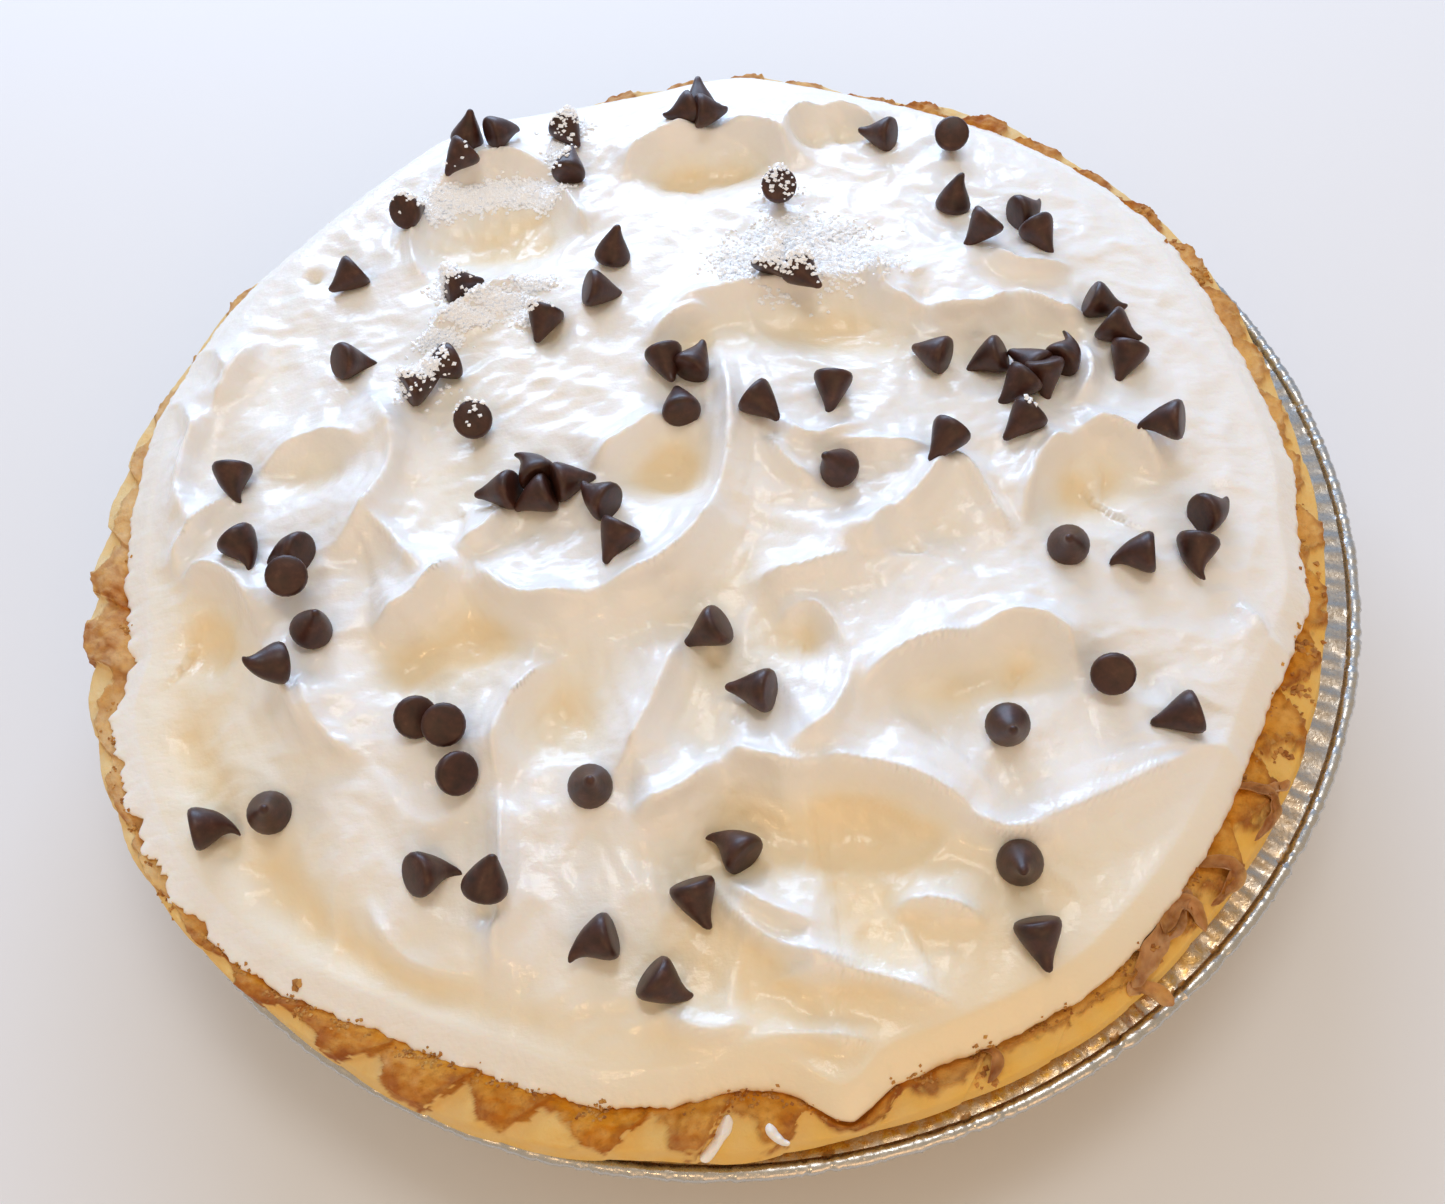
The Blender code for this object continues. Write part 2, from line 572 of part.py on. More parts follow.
def make_topping(surface):
    radius, angle, faces, rim = disc_grid(GRID)
    reach = around(TOPPING_EDGE, angle) - ROUND_OVER
    top = polar(radius * reach, angle, 0.0)
    top[:, 2] = topping_z(top[:, 0], top[:, 1])
    rim_angle = np.arange(len(rim)) * 360.0 / len(rim)
    skirt = topping_skirt(rim_angle, top[rim, 2])
    under_angle = np.arange(TOPPING_BASE_POINTS) * 360.0 / TOPPING_BASE_POINTS
    under_z = ledge_z(under_angle) + TOPPING_GAP
    under = polar(around(TOPPING_EDGE, under_angle) - BASE_INSET, under_angle, under_z)
    base = (0, 0, CRUST_LEDGE_Z + TOPPING_GAP)
    points = np.concatenate([[base], under] + skirt[::-1] + [top])
    counts = [len(under)] + [len(rim)] * 3
    starts = np.cumsum([1] + counts).tolist()
    faces = [tuple(starts[4] + k for k in face) for face in faces]
    faces += [(0, 1 + (k + 1) % counts[0], 1 + k) for k in range(counts[0])]
    for k in range(3):
        faces += zip_rings(counts[k], starts[k], counts[k + 1], starts[k + 1])
    for k in range(len(rim)):
        lower, following = starts[3] + k, starts[3] + (k + 1) % len(rim)
        upper, beyond = starts[4] + rim[k], starts[4] + rim[(k + 1) % len(rim)]
        faces += [(lower, following, beyond), (lower, beyond, upper)]
    return mesh_object("cream", points, faces, surface)


def chip_shape():
    """One chip standing on its base at the origin, as points and faces."""
    turns = np.arange(CHIP_SIDES) * 360.0 / CHIP_SIDES
    rings = [polar(radius, turns, height) for radius, height in CHIP_PROFILE]
    return turned(rings, (0, 0, 0), (0, 0, CHIP_HEIGHT))


def surface_tree(thing):
    """A search tree over the faces of a piece, in millimetres."""
    points = [vertex.co / MM for vertex in thing.data.vertices]
    return BVHTree.FromPolygons(points, [tuple(face.vertices) for face in thing.data.polygons])


def ground_z(tree, x, y):
    """Height of the upper face below a place, or 0 beside the piece."""
    hit = tree.ray_cast(Vector((x, y, 100.0)), Vector((0, 0, -1)))[0]
    return hit.z if hit else 0.0


def placed_chip(points, tree, x, y, heading, tilt):
    """The chip tipped over, turned, and set down a little into the topping."""
    lean, turn = math.radians(tilt), math.radians(heading)
    middle = points - [0, 0, CHIP_HEIGHT * 0.4]
    tipped_x = middle[:, 0] * math.cos(lean) + middle[:, 2] * math.sin(lean)
    tipped_z = -middle[:, 0] * math.sin(lean) + middle[:, 2] * math.cos(lean)
    along = tipped_x * math.cos(turn) - middle[:, 1] * math.sin(turn)
    beside = tipped_x * math.sin(turn) + middle[:, 1] * math.cos(turn)
    x, y = x + along, y + beside
    touching = max(ground_z(tree, *place) - z for *place, z in zip(x, y, tipped_z))
    return np.stack([x, y, tipped_z + touching - CHIP_SUNK], axis=-1)


def fuse(body, pieces):
    """One Boolean union joins the pieces to the body."""
    union = body.modifiers.new("union", "BOOLEAN")
    union.operation = "UNION"
    union.operand_type = "COLLECTION"
    union.collection = pieces
    union.solver = "MANIFOLD"
    bpy.context.view_layer.objects.active = body
    with bpy.context.temp_override(object=body, active_object=body, selected_objects=[body]):
        bpy.ops.object.modifier_apply(modifier=union.name)
    for piece in list(pieces.objects):
        bpy.data.objects.remove(piece, do_unlink=True)
    bpy.data.collections.remove(pieces)


def add_chips(cream, surface):
    points, faces = chip_shape()
    tree = surface_tree(cream)
    pieces = bpy.data.collections.new("chips")
    bpy.context.scene.collection.children.link(pieces)
    for number, (x, y, heading, tilt) in enumerate(CHIPS):
        placed = placed_chip(points, tree, x, y, heading, tilt)
        chip = mesh_object(f"chip_{number:02d}", placed, faces, surface)
        bpy.context.scene.collection.objects.unlink(chip)
        pieces.objects.link(chip)
    fuse(cream, pieces)


def main():
    clear_scene()
    make_pan(material("foil", FOIL_COLOUR, 0.3, 1.0))
    make_crust(material("baked_crust", CRUST_COLOUR, 0.75))
    topping = material("whipped_topping", TOPPING_COLOUR, 0.45)
    cream = make_topping(topping)
    add_chips(cream, topping)


main()
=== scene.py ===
"""Looks of a chocolate mousse pie: crinkled foil, baked crust, whipped topping, chips, frost.

Lengths are millimetres and angles are degrees, counted anticlockwise from +X as seen from
above; meshes are made in metres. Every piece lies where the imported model's solids are.
"""

import math

import bpy
import numpy as np
from mathutils import Matrix, Vector, noise
from mathutils.bvhtree import BVHTree


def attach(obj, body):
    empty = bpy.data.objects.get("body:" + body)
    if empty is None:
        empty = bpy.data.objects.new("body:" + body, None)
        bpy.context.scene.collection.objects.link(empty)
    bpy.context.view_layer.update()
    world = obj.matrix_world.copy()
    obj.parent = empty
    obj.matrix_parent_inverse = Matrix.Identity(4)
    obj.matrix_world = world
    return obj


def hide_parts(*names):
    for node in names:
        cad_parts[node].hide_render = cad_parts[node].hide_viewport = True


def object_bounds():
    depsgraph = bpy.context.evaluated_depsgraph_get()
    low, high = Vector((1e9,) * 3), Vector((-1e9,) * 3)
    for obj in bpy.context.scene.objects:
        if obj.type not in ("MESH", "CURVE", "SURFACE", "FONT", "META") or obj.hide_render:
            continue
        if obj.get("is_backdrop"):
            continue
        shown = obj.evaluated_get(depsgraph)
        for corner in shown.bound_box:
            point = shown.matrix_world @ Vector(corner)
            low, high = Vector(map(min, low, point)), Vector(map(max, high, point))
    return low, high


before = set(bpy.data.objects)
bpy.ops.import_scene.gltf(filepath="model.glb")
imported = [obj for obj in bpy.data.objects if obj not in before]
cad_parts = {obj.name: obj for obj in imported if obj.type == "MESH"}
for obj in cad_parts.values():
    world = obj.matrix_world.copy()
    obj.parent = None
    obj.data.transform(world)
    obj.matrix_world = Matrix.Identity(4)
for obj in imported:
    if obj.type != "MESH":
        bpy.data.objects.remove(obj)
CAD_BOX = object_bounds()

MM = 0.001

# Foil pan
PAN_RADIUS = 127.0
PAN_RIM_Z = 30.0
PAN_BASE_RADIUS = 90.0
PAN_CORNER_RISE = 2.4
PAN_WALL_TOP_RADIUS = 117.8
PAN_FOIL = 0.6
BEAD_RADIUS = 1.25
BEAD_RISE = 1.1
BEAD_GAP = 0.1
BEAD_TURNS = (205, 520)
BEAD_STEPS = 14
# Size of the bead: without creases, and what crinkles, fine creases and pleats add to it.
BEAD_ROUGH = (0.9, 0.12, 0.16, 0.05)
FLANGE_DROP = 0.1
FLANGE_LIFT = 0.45
PLEATS = 170
PLEAT_STEPS = 7
PLEAT_DRIFT = 0.9
# Noise of the foil, as size of its bumps and seed, and how steep its ridges are.
DRIFT_NOISE = (14.0, 1)
PLEAT_NOISE = (6.0, 2)
CRINKLE_NOISE = (4.0, 3)
FINE_NOISE = (1.3, 4)
FOIL_RIDGE = 3
WALL_PLEAT = 0.35
FLANGE_PLEAT = 0.3
# By angle: how much a painted golden reflection of the crust tints the flange, and the radii where
# that fades out.
PAINTED_GOLD_REFLECTION = (
    (10, 0.1), (60, 0.0), (225, 0.0), (255, 0.9), (298, 1.0), (315, 0.6), (340, 0.25),
)
PAINTED_GOLD_REFLECTION_ENDS = (125.2, 123.6)
# Colours of the foil: its own silver, and its painted golden reflection.
FOIL_AND_REFLECTION_COLOURS = ((0.0, "CBCAC8"), (1.0, "C6963E"))

# Crust
PAN_GAP = 0.45
CRUST_RADIUS = 127.0
CRUST_DENT = 8.0
CRUST_LEDGE_Z = 37.2
LEDGE_DENT_DROP = 1.6
CRUST_CREST = 2.4
FULL_BAND = 9.0
LEAST_BAND_SHARE = 0.35
BASE_INSET = 6.0
# The rim's underside lies over the flange, and climbs on to the bead between these radii.
UNDERSIDE_INSET = 1.3
UNDERSIDE_RISE = 1.0
SHOULDER_INSET = 0.4
CLEAR_OF_BEAD = (120.5, 123.7)
# The top of the crust's wall, inside the foil.
INNER_FOIL = 0.4
WALL_TOP_INSET = 0.3
WALL_TOP_RISE = 0.2
# Rings up the rim's outer side, and how far down that side the rim is widest.
SIDE_SHARES = (0.3, 0.6, 0.85)
WIDEST_SHARE = 0.45
# Crimps
FLUTES = 50
FOLD_ANGLE = 179.3
FOLD_LEAN = 0.42
FLUTE_HEIGHT = 1.3
FLUTE_REACH = 1.1
FLUTE_UNEVEN = 0.35
LOBE_SHARE = 0.6
# Places of a ring's points in each flute; the fold is at 1.
FLUTE_PHASES = (*np.linspace(0.02, 0.9, 27), *np.linspace(0.92, 0.99, 7))
RIM_RINGS = 42

# Section of the rim: share of the way across, then shares of its lift, reach and crimp height.
RIM_SECTION = (
    (-0.25, 0.0, 0.0, 0.0), (0.05, 0.7, 0.0, 0.45), (0.3, 1.0, 0.0, 0.9), (0.58, 0.9, 0.3, 1.0),
    (0.84, 0.5, 0.8, 0.7), (1.0, 0.0, 1.0, 0.0),
)

# By angle: how strongly the rim is crimped, how far its outline is notched, how high it stands
# and how many degrees its folds lie from even places.
CRIMPS = (
    (10, 0.4), (40, 0.5), (75, 0.5), (105, 0.2), (155, 0.2), (178, 0.45), (205, 0.55), (225, 0.8),
    (255, 0.9), (282, 0.8), (298, 0.4), (330, 0.35), (350, 0.4),
)
NOTCHES = (
    (20, 0.4), (60, 0.6), (105, 0.5), (155, 0.9), (178, 1.4), (205, 1.3), (220, 0.7), (230, 0.3),
    (280, 0.3), (330, 0.3),
)
CRESTS = (
    (10, 0.8), (40, 0.8), (75, 0.5), (105, 0.0), (155, 0.0), (175, 0.8), (200, 1.0), (280, 1.0),
    (300, 0.9), (350, 0.8),
)
FOLD_SHIFT = ((180, 0.0), (227, 1.0), (241, 2.2), (249, 0.9), (257, 1.7), (277, -0.6), (300, 0.0))

# Each flute has a baked pad, with a ragged outer edge. By angle: how far the pads reach out, how
# brown and how rosy they are, how high their lip stands, how golden the dough beside them is and
# how ragged the rim's surface is.
PAD_REACH = (
    (10, 0.7), (40, 0.9), (90, 1.0), (160, 0.8), (180, 0.7), (188, 1.4), (195, 0.8), (215, 0.7),
    (226, 0.95), (250, 0.85), (266, 0.8), (279, 0.8), (286, 0.3), (298, 0.35), (306, 0.75),
    (340, 0.75),
)
BAKING = (
    (2, 0.5), (10, 0.45), (30, 0.75), (60, 0.8), (110, 0.6), (150, 0.45), (176, 0.35),
    (182, 0.5), (188, 0.8), (194, 0.5), (200, 0.3), (208, 0.7), (213, 0.35), (219, 0.9),
    (226, 1.0), (255, 0.9), (270, 0.75), (279, 0.9), (287, 0.4), (300, 0.4), (308, 0.7),
    (335, 0.7), (348, 0.5),
)
ROSY = (
    (5, 0.5), (60, 0.7), (150, 0.8), (190, 0.9), (215, 0.6), (227, 0.8), (240, 0.55), (252, 0.35),
    (265, 0.2), (279, 0.6), (292, 0.3), (305, 0.3), (325, 0.15), (345, 0.2),
)
LIPS = ((10, 0.5), (60, 0.4), (180, 0.2), (260, 0.2), (282, 0.7), (305, 1.0), (335, 1.0))
GOLD = (
    (10, 0.5), (35, 0.25), (90, 0.1), (160, 0.1), (205, 0.2), (222, 0.55), (240, 0.55),
    (262, 0.75), (280, 0.85), (300, 1.0), (335, 0.9), (350, 0.75),
)
RAGGED = (
    (5, 0.9), (30, 1.3), (90, 1.5), (150, 1.6), (185, 1.7), (212, 1.6), (225, 1.1), (260, 0.9),
    (290, 0.6), (330, 0.8),
)
LIP_HEIGHT = 1.1
LIP_WIDTH = 0.07
PAD_HEIGHT = 0.55

# Noise of the rim, as strength, size of its bumps and seed: the pads' torn edges, the shifts
# between them, and the lumps of the surface.
PAD_TEARS = ((0.2, 5.0, 41), (0.14, 2.0, 42), (0.1, 0.9, 43))
PAD_SHIFTS = ((0.09, 3.0, 46), (0.05, 1.1, 47))
RIM_LUMPS = ((0.75, 7.0, 11), (0.5, 3.0, 12), (0.4, 1.5, 13), (0.22, 0.8, 14))
BLOTCH_SIZE = 4.0
SPOT_SIZE = 1.3
# How rough the plain dough is, and what baking adds on the rim's side and on its pads.
DOUGH_ROUGH = 0.15
SIDE_ROUGH = 0.5
PAD_ROUGH = 0.6

# Colours of the rim
DOUGH_PALE = "E8D0A0"
DOUGH_GOLD = "EEC36A"
BAKED_GOLD = "D28612"
BAKED_ROSY = "AE6A34"
BAKED_DARK = "7E4418"
PATCH_GOLD = "EDB95A"
# How much a pad's lip and its spots are darkened, and its fold, by browning and a painted shadow.
DARK_LIP = 0.25
FOLD_BROWNING_AND_SHADOW = 0.3
DARK_SPOT = 0.4

# Outer edge of the crust: angle and radius. It is drawn in from the pan on the right.
CRUST_EDGE = (
    (3, 119.2), (10, 120.3), (18, 121.9), (28, 123.8), (43, 124.5), (50, 126.0), (57, 125.6),
    (63, 123.9), (68, 123.6), (74, 125.6), (84, 126.6), (91, 125.2), (97, 125.0), (103, 123.2),
    (114, 126.2), (124, 124.6), (137, 122.8), (147, 124.8), (156, 124.2), (165, 125.4),
    (178, 125.8), (190, 126.6), (205, 127.2), (220, 126.6), (228, 125.6), (236, 125.8),
    (246, 126.3), (255, 125.8), (261, 124.4), (266, 124.8), (274, 123.1), (285, 122.5),
    (297, 122.3), (305, 121.3), (312, 120.7), (325, 120.0), (340, 119.3), (355, 119.2),
)

# Topping
TOPPING_GAP = 0.5
DOME_EDGE_Z = 43.0
DOME_RISE = 9.0
DOME_RADIUS = 112.0
ROUND_OVER = 5.5
EDGE_RADIUS = 120.0
EDGE_SHOULDER = 1.9
FOOT_TUCK = 0.4
FOOT_DROP = 0.3
FOOT_INSET = 4.0
EDGE_RINGS = 12
GRID = 288
# Shares of the edge's height that are lost at its shoulder and at its widest, each with what a
# thin edge adds.
SHOULDER_DROP = (0.28, 0.14)
WIDEST_DROP = (0.58, 0.12)
# How far in from the edge the heaps, the strokes, the creases and the painted warm shade begin and
# end.
HEAP_REACH = (35.0, 5.0)
RELIEF_REACH = (2.0, 12.0)
CREASE_REACH = (3.0, 14.0)
PAINTED_EDGE_SHADE_REACH = (46.0, 6.0)
# Tone of the topping, from 0 white to 1 warm: on its broad shape, on its edge, what painted warm
# shade adds at the thin edge, and the depth of a dip whose painted warm shade takes it all the way.
BROAD_TONE = 0.35
EDGE_TONE = 0.4
PAINTED_EDGE_SHADE_TONE = 0.6
PAINTED_SHADE_DEPTH = 7.0
# White is the cream's own colour; the warmer stops are painted warm shade.
CREAM_AND_PAINTED_SHADE_COLOURS = ((0.0, "FBFBFB"), (0.4, "FAF8F4"), (0.7, "FAF4E8"), (1.0, "F9E7C6"))

# Edge of the topping: angle and radius where it meets the crust.
TOPPING_EDGE = (
    (2, 113.5), (10, 113.6), (18, 115.3), (28, 118.5), (40, 119.5), (60, 118.8), (74, 119.0),
    (82, 120.8), (92, 117.8), (104, 118.9), (115, 121.8), (126, 120.4), (138, 119.9),
    (148, 121.2), (157, 120.6), (165, 121.5), (172, 119.8), (183, 118.6), (192, 117.6),
    (198, 123.0), (205, 124.1), (211, 124.9), (218, 124.3), (226, 122.8), (236, 119.0),
    (247, 117.7), (256, 118.3), (262, 116.8), (267, 114.9), (271, 115.9), (275, 121.2),
    (279, 117.5), (284, 116.9), (296, 117.2), (303, 115.8), (311, 113.9), (326, 111.2),
    (334, 112.8), (340, 114.4), (347, 112.8), (354, 113.9),
)

# How much the topping's edge is heaped up or spread thin, by angle.
EDGE_LIFT = (
    (10, 0.5), (45, 0.5), (66, 0.7), (78, 2.9), (88, 3.0), (100, 1.5), (116, 3.5), (135, 1.0),
    (175, -0.5), (195, -2.0), (235, -2.0), (258, -1.0), (272, 0.0), (290, 0.5), (330, 1.0),
)

# Painted warm shade on the thin topping at its edge, by angle.
EDGE_PAINTED_SHADE = (
    (20, 0.1), (180, 0.1), (245, 0.1), (258, 0.6), (275, 0.9), (290, 1.0), (302, 0.7),
    (318, 0.2), (335, 0.0),
)

# How ragged the topping's edge is, by angle.
TORN_EDGE = (
    (30, 1.2), (90, 1.0), (180, 1.2), (192, 3.0), (214, 3.0), (222, 1.6), (250, 1.4), (268, 0.7),
    (300, 0.6),
)

# Noise that tears the edge, as strength, size and seed.
EDGE_TEARS = ((0.5, 5.0, 24), (0.4, 2.0, 25), (0.35, 0.9, 28))

# How thin the topping's edge runs out, by angle.
EDGE_THIN = (
    (10, 0.3), (70, 0.2), (150, 0.2), (190, 0.8), (215, 1.0), (245, 1.0), (258, 0.6), (268, 0.3),
    (282, 0.4), (300, 0.1), (340, 0.1),
)

# Strokes of the spatula: start, middle and end of each crest as x, y, then height and width.
# The side on the right of the direction of travel is the steep one, with a scoop before it.
STROKE_STEPS = 12
BACK_LENGTH = 0.5
FRONT_LENGTH = 0.2
SCOOP_PLACE = 0.7
SCOOP_DEPTH = 0.35
CREST_LIP = 0.5
CREST_LIP_WIDTH = 0.9
DRAG_DEPTH = 0.16
DRAG_LINES = (1.9, 3.0)
DRAG_FINE = 0.7
DRAG_FADE = 0.45
STROKES = (
    (-47, -15, -38, -28, -22, -29, 6.5, 16), (-28, -30, -8, -24, 1, -8, 6.5, 16),
    (4, 26, 4, 3, -1, -14, 4.5, 12), (-24, -1, -15, 5, -6, 12, 5.0, 11),
    (-10, 28, -4, 35, 5, 36, 3.5, 9), (-66, -29, -56, -25, -49, -15, 6.5, 14),
    (-50, -14, -44, -13, -40, -5, 4.0, 9), (-68, -4, -61, -12, -56, -21, 3.5, 10),
    (-75, -14, -62, 7, -70, 27, 6.5, 16), (-92, 9, -80, 17, -67, 11, 2.5, 10),
    (-107, -12, -93, -15, -86, -31, 7.0, 15), (-87, -28, -81, -39, -75, -52, 4.5, 13),
    (-106, -11, -103, -2, -93, 6, 4.0, 9), (-103, 0, -107, 14, -102, 31, 4.0, 9),
    (-103, 29, -98, 38, -93, 49, 3.5, 10), (-115, 41, -109, 31, -104, 21, 2.5, 7),
    (-112, 56, -104, 46, -99, 35, 2.5, 8), (-42, -63, -40, -49, -29, -39, 5.0, 12),
    (-42, -62, -42, -79, -45, -95, 3.0, 8), (-23, -65, -14, -51, -8, -36, 5.0, 14),
    (-20, -70, -11, -68, -3, -61, 5.5, 13), (-4, -61, 3, -64, 12, -67, 5.0, 12),
    (7, -66, 24, -68, 41, -80, 6.5, 15), (35, -76, 42, -80, 50, -80, 3.0, 7),
    (-7, -83, 2, -94, 16, -98, 3.0, 8), (-5, -82, 1, -88, 10, -92, 2.5, 6),
    (21, -91, 28, -90, 37, -94, 3.0, 7), (21, -54, 31, -47, 46, -45, 5.5, 12),
    (41, -45, 55, -43, 60, -54, 5.5, 12), (7, -61, 16, -58, 21, -46, 4.0, 11),
    (8, -38, 16, -36, 20, -46, 3.5, 8), (56, -24, 62, -9, 72, -4, 5.5, 13),
    (69, -4, 79, -3, 86, -14, 5.0, 11), (54, -26, 50, -14, 45, -5, 3.5, 9),
    (4, -29, 15, -29, 26, -26, 4.5, 12), (27, -27, 29, -21, 35, -17, 4.5, 10),
    (33, -19, 39, -14, 45, -6, 5.0, 11), (15, 7, 19, 0, 31, 3, 2.5, 6),
    (11, 2, 14, -5, 20, -11, 3.0, 7), (21, -1, 32, -3, 43, -4, 3.0, 9),
    (40, 49, 39, 36, 48, 32, 5.0, 12), (45, 33, 57, 29, 68, 36, 5.0, 12),
    (66, 37, 73, 30, 81, 29, 3.5, 8), (63, 48, 69, 41, 81, 43, 3.5, 8),
    (71, 4, 77, 12, 77, 23, 2.5, 7), (-14, 82, -5, 93, 10, 94, 5.0, 13),
    (5, 94, 20, 92, 25, 80, 4.5, 12), (24, 85, 27, 96, 36, 98, 4.0, 9),
    (33, 98, 41, 98, 47, 91, 3.5, 8), (-28, 82, -25, 74, -21, 65, 4.0, 10),
    (-59, 79, -45, 93, -27, 85, 4.5, 12), (-58, 37, -48, 46, -33, 55, 3.5, 10),
    (-57, 56, -61, 68, -58, 81, 3.0, 10), (-6, 38, 16, 42, 42, 41, 3.0, 11),
    (42, -80, 58, -76, 81, -67, 3.0, 13), (86, -62, 95, -52, 91, -41, 3.5, 9),
    (89, -60, 86, -67, 74, -68, 2.5, 7), (-77, -37, -74, -48, -65, -55, 2.5, 8),
    (-65, -79, -59, -89, -47, -93, 2.0, 7), (0, -100, 15, -100, 33, -109, 3.0, 8),
    (-10, -110, 4, -108, 20, -112, 2.0, 6), (-17, -101, -11, -106, -2, -105, 2.5, 7),
)

# Hollows and swells of the topping: x, y, half length along x, half length along y, rise.
BOWLS = (
    (-42, 69, 16, 13, -4.5), (-80, 9, 13, 7, -3.0), (-97, -27, 9, 8, -3.0),
    (-89, -31, 4, 8, -1.5), (-60, -36, 7, 7, -2.5), (-43, -33, 9, 6, -2.0),
    (-61, 5, 5, 13, -2.0), (-9, 0, 9, 8, -3.5), (-26, -50, 9, 10, -3.0),
    (13, -41, 6, 4, -2.0), (-2, 27, 5, 7, -2.5), (72, -13, 10, 8, -3.5),
    (54, -15, 4, 9, -1.5), (16, -76, 20, 8, -4.5), (44, -52, 15, 5, -3.5),
    (5, 84, 15, 7, -4.0), (34, 92, 9, 4, -2.5), (25, 31, 26, 7, -2.5),
    (57, 42, 19, 12, 2.5), (25, -22, 5, 5, 2.5), (-31, 37, 6, 5, -2.0),
    (-84, 65, 2, 2, -2.5), (72, -55, 3, 4, -1.4), (-44, -84, 3, 2, -2.0),
    (-3, -43, 3, 3, -1.5),
)
BOWL_FADE = 1.3

# Shallow groove along the lower left edge.
GROOVE_RADIUS = 110.0
GROOVE_WIDTH = 7.0
GROOVE_DEPTH = 2.2
GROOVE_FROM = 203.0
GROOVE_TO = 252.0
GROOVE_FADE = 8.0

# Creases that whipping leaves, as height, size and seed. They wander, and the whole lies a little
# below its crests.
CREASES = ((0.9, 17.0, 21), (0.42, 7.0, 22))
WRINKLES = ((0.07, 3.6, 29),)
WRINKLE_STRETCH = (0.7, 1.3, 1.0)
RIPPLES = ((0.14, 2.6, 23),)
WANDER = 7.0
WANDER_SIZE = 24.0
WANDER_SEEDS = (26, 27)
CREASE_SINK = 0.7

# Chocolate chips: a drop with a round base and a drawn-out tip, as radius and height.
CHIP_PROFILE = (
    (3.1, 0.0), (3.62, 0.22), (3.86, 0.8), (3.8, 1.5), (3.45, 2.4), (3.0, 3.3), (2.55, 4.2),
    (2.1, 5.0), (1.7, 5.8), (1.35, 6.5), (1.05, 7.2), (0.85, 7.8), (0.55, 8.3),
)
CHIP_HEIGHT = 8.6
CHIP_SIDES = 22
CHIP_SUNK = 1.0
CHIP_HOLLOW = 0.1
CHIP_MIDDLE = 0.4
# A tip bends over from this height up, and sinks by this share of the bend.
CURL_FROM = 4.0
CURL_DROP = 0.25
CHOCOLATE = "382019"
DUST_COLOURS = ((0.3, "2C140C"), (0.58, "442319"), (0.85, "5E3C2F"))

# Each chip: x, y, the way its tip points, and its tilt (0 tip up, 90 on its side, 180 tip down).
CHIPS = (
    (-75, 60, 215, 105), (-61, 77, 60, 125), (-50, 90, 217, 110), (-48, 100, 35, 25),
    (-40, 98, 30, 100), (-49, 51, 17, 105), (-32, 39, 244, 118), (-72, 35, 30, 128),
    (-57, 25, 30, 100), (-53, 29, 210, 80), (-25, 98, 298, 105), (-25, 86, 81, 80),
    (2, 98, 198, 105), (8, 97, 6, 105), (6, 102, 90, 60), (21, 69, 84, 150),
    (17, 45, 60, 60), (23, 40, 300, 90), (-16, 56, 50, 20), (-19, 44, 2, 118),
    (46, 88, 149, 105), (62, 84, 77, 148), (59, 64, 66, 18), (62, 51, 210, 130),
    (74, 58, 17, 100), (75, 50, 288, 105), (84, 30, 337, 108), (85, 22, 315, 105),
    (85, 15, 242, 118), (-95, 8, 265, 110), (-90, -10, 308, 105), (-81, -12, 156, 105),
    (-80, -19, 109, 150), (-75, -29, 4, 28), (-82, -38, 200, 60), (-46, 14, 98, 152),
    (-41, -4, 169, 108), (-34, 0, 108, 92), (-34, -7, 191, 105), (-27, -4, 17, 105),
    (-22, -10, 139, 100), (-19, -20, 235, 115), (-7, 22, 279, 108), (-1, 22, 59, 90),
    (-5, 12, 95, 95), (11, 7, 314, 105), (25, 11, 258, 115), (23, -8, 200, 25),
    (44, -6, 229, 105), (-4, -39, 190, 122), (46, 19, 146, 100), (57, 17, 175, 122),
    (65, 15, 124, 95), (67, 10, 275, 140), (61, 8, 216, 115), (60, -1, 215, 112),
    (73, 16, 45, 90), (86, -5, 158, 112), (92, -23, 18, 105), (86, -32, 247, 105),
    (75, -31, 168, 105), (63, -29, 250, 22), (-57, -48, 123, 138), (-51, -51, 103, 150),
    (-50, -60, 144, 130), (-94, -62, 16, 105), (-83, -62, 300, 20), (-54, -76, 29, 128),
    (-43, -80, 60, 42), (-26, -66, 285, 18), (3, -51, 160, 105), (-3, -77, 127, 100),
    (-10, -86, 282, 116), (-27, -91, 189, 100), (-16, -99, 322, 118), (45, -64, 262, 40),
    (65, -54, 75, 132), (75, -63, 185, 105), (43, -86, 250, 24), (44, -98, 274, 114),
)

# Chips whose tips curl over: number in the list above, then how far and which way the tip bends
# (90 to the left of where it points, 270 to the right, 180 up).
CURLS = {
    7: (3.2, 250), 12: (2.4, 270), 24: (2.6, 90), 29: (1.8, 90), 30: (2.2, 270), 31: (3.2, 70),
    34: (2.6, 180), 37: (2.4, 90), 56: (3.8, 90), 57: (1.8, 100), 58: (2.0, 90), 59: (2.4, 90),
    60: (2.0, 90), 65: (3.0, 280), 67: (3.0, 250), 71: (2.4, 90), 73: (2.2, 100),
}

# Ice crystals
FROST_SIZE = (0.4, 0.95)
FROST_DEPTH = 1.3
FROST_FLATNESS = 0.55
# A patch of this many crystals whitens the topping fully, and the white fades outward.
FROST_COVERS = 250
FROST_FADE = 2.0
# The crystals' colour, and a faint painted glow that lightens their shaded sides.
FROST_WHITE = "F8FBFF"
FROST_PAINTED_GLOW = "DEECFF"
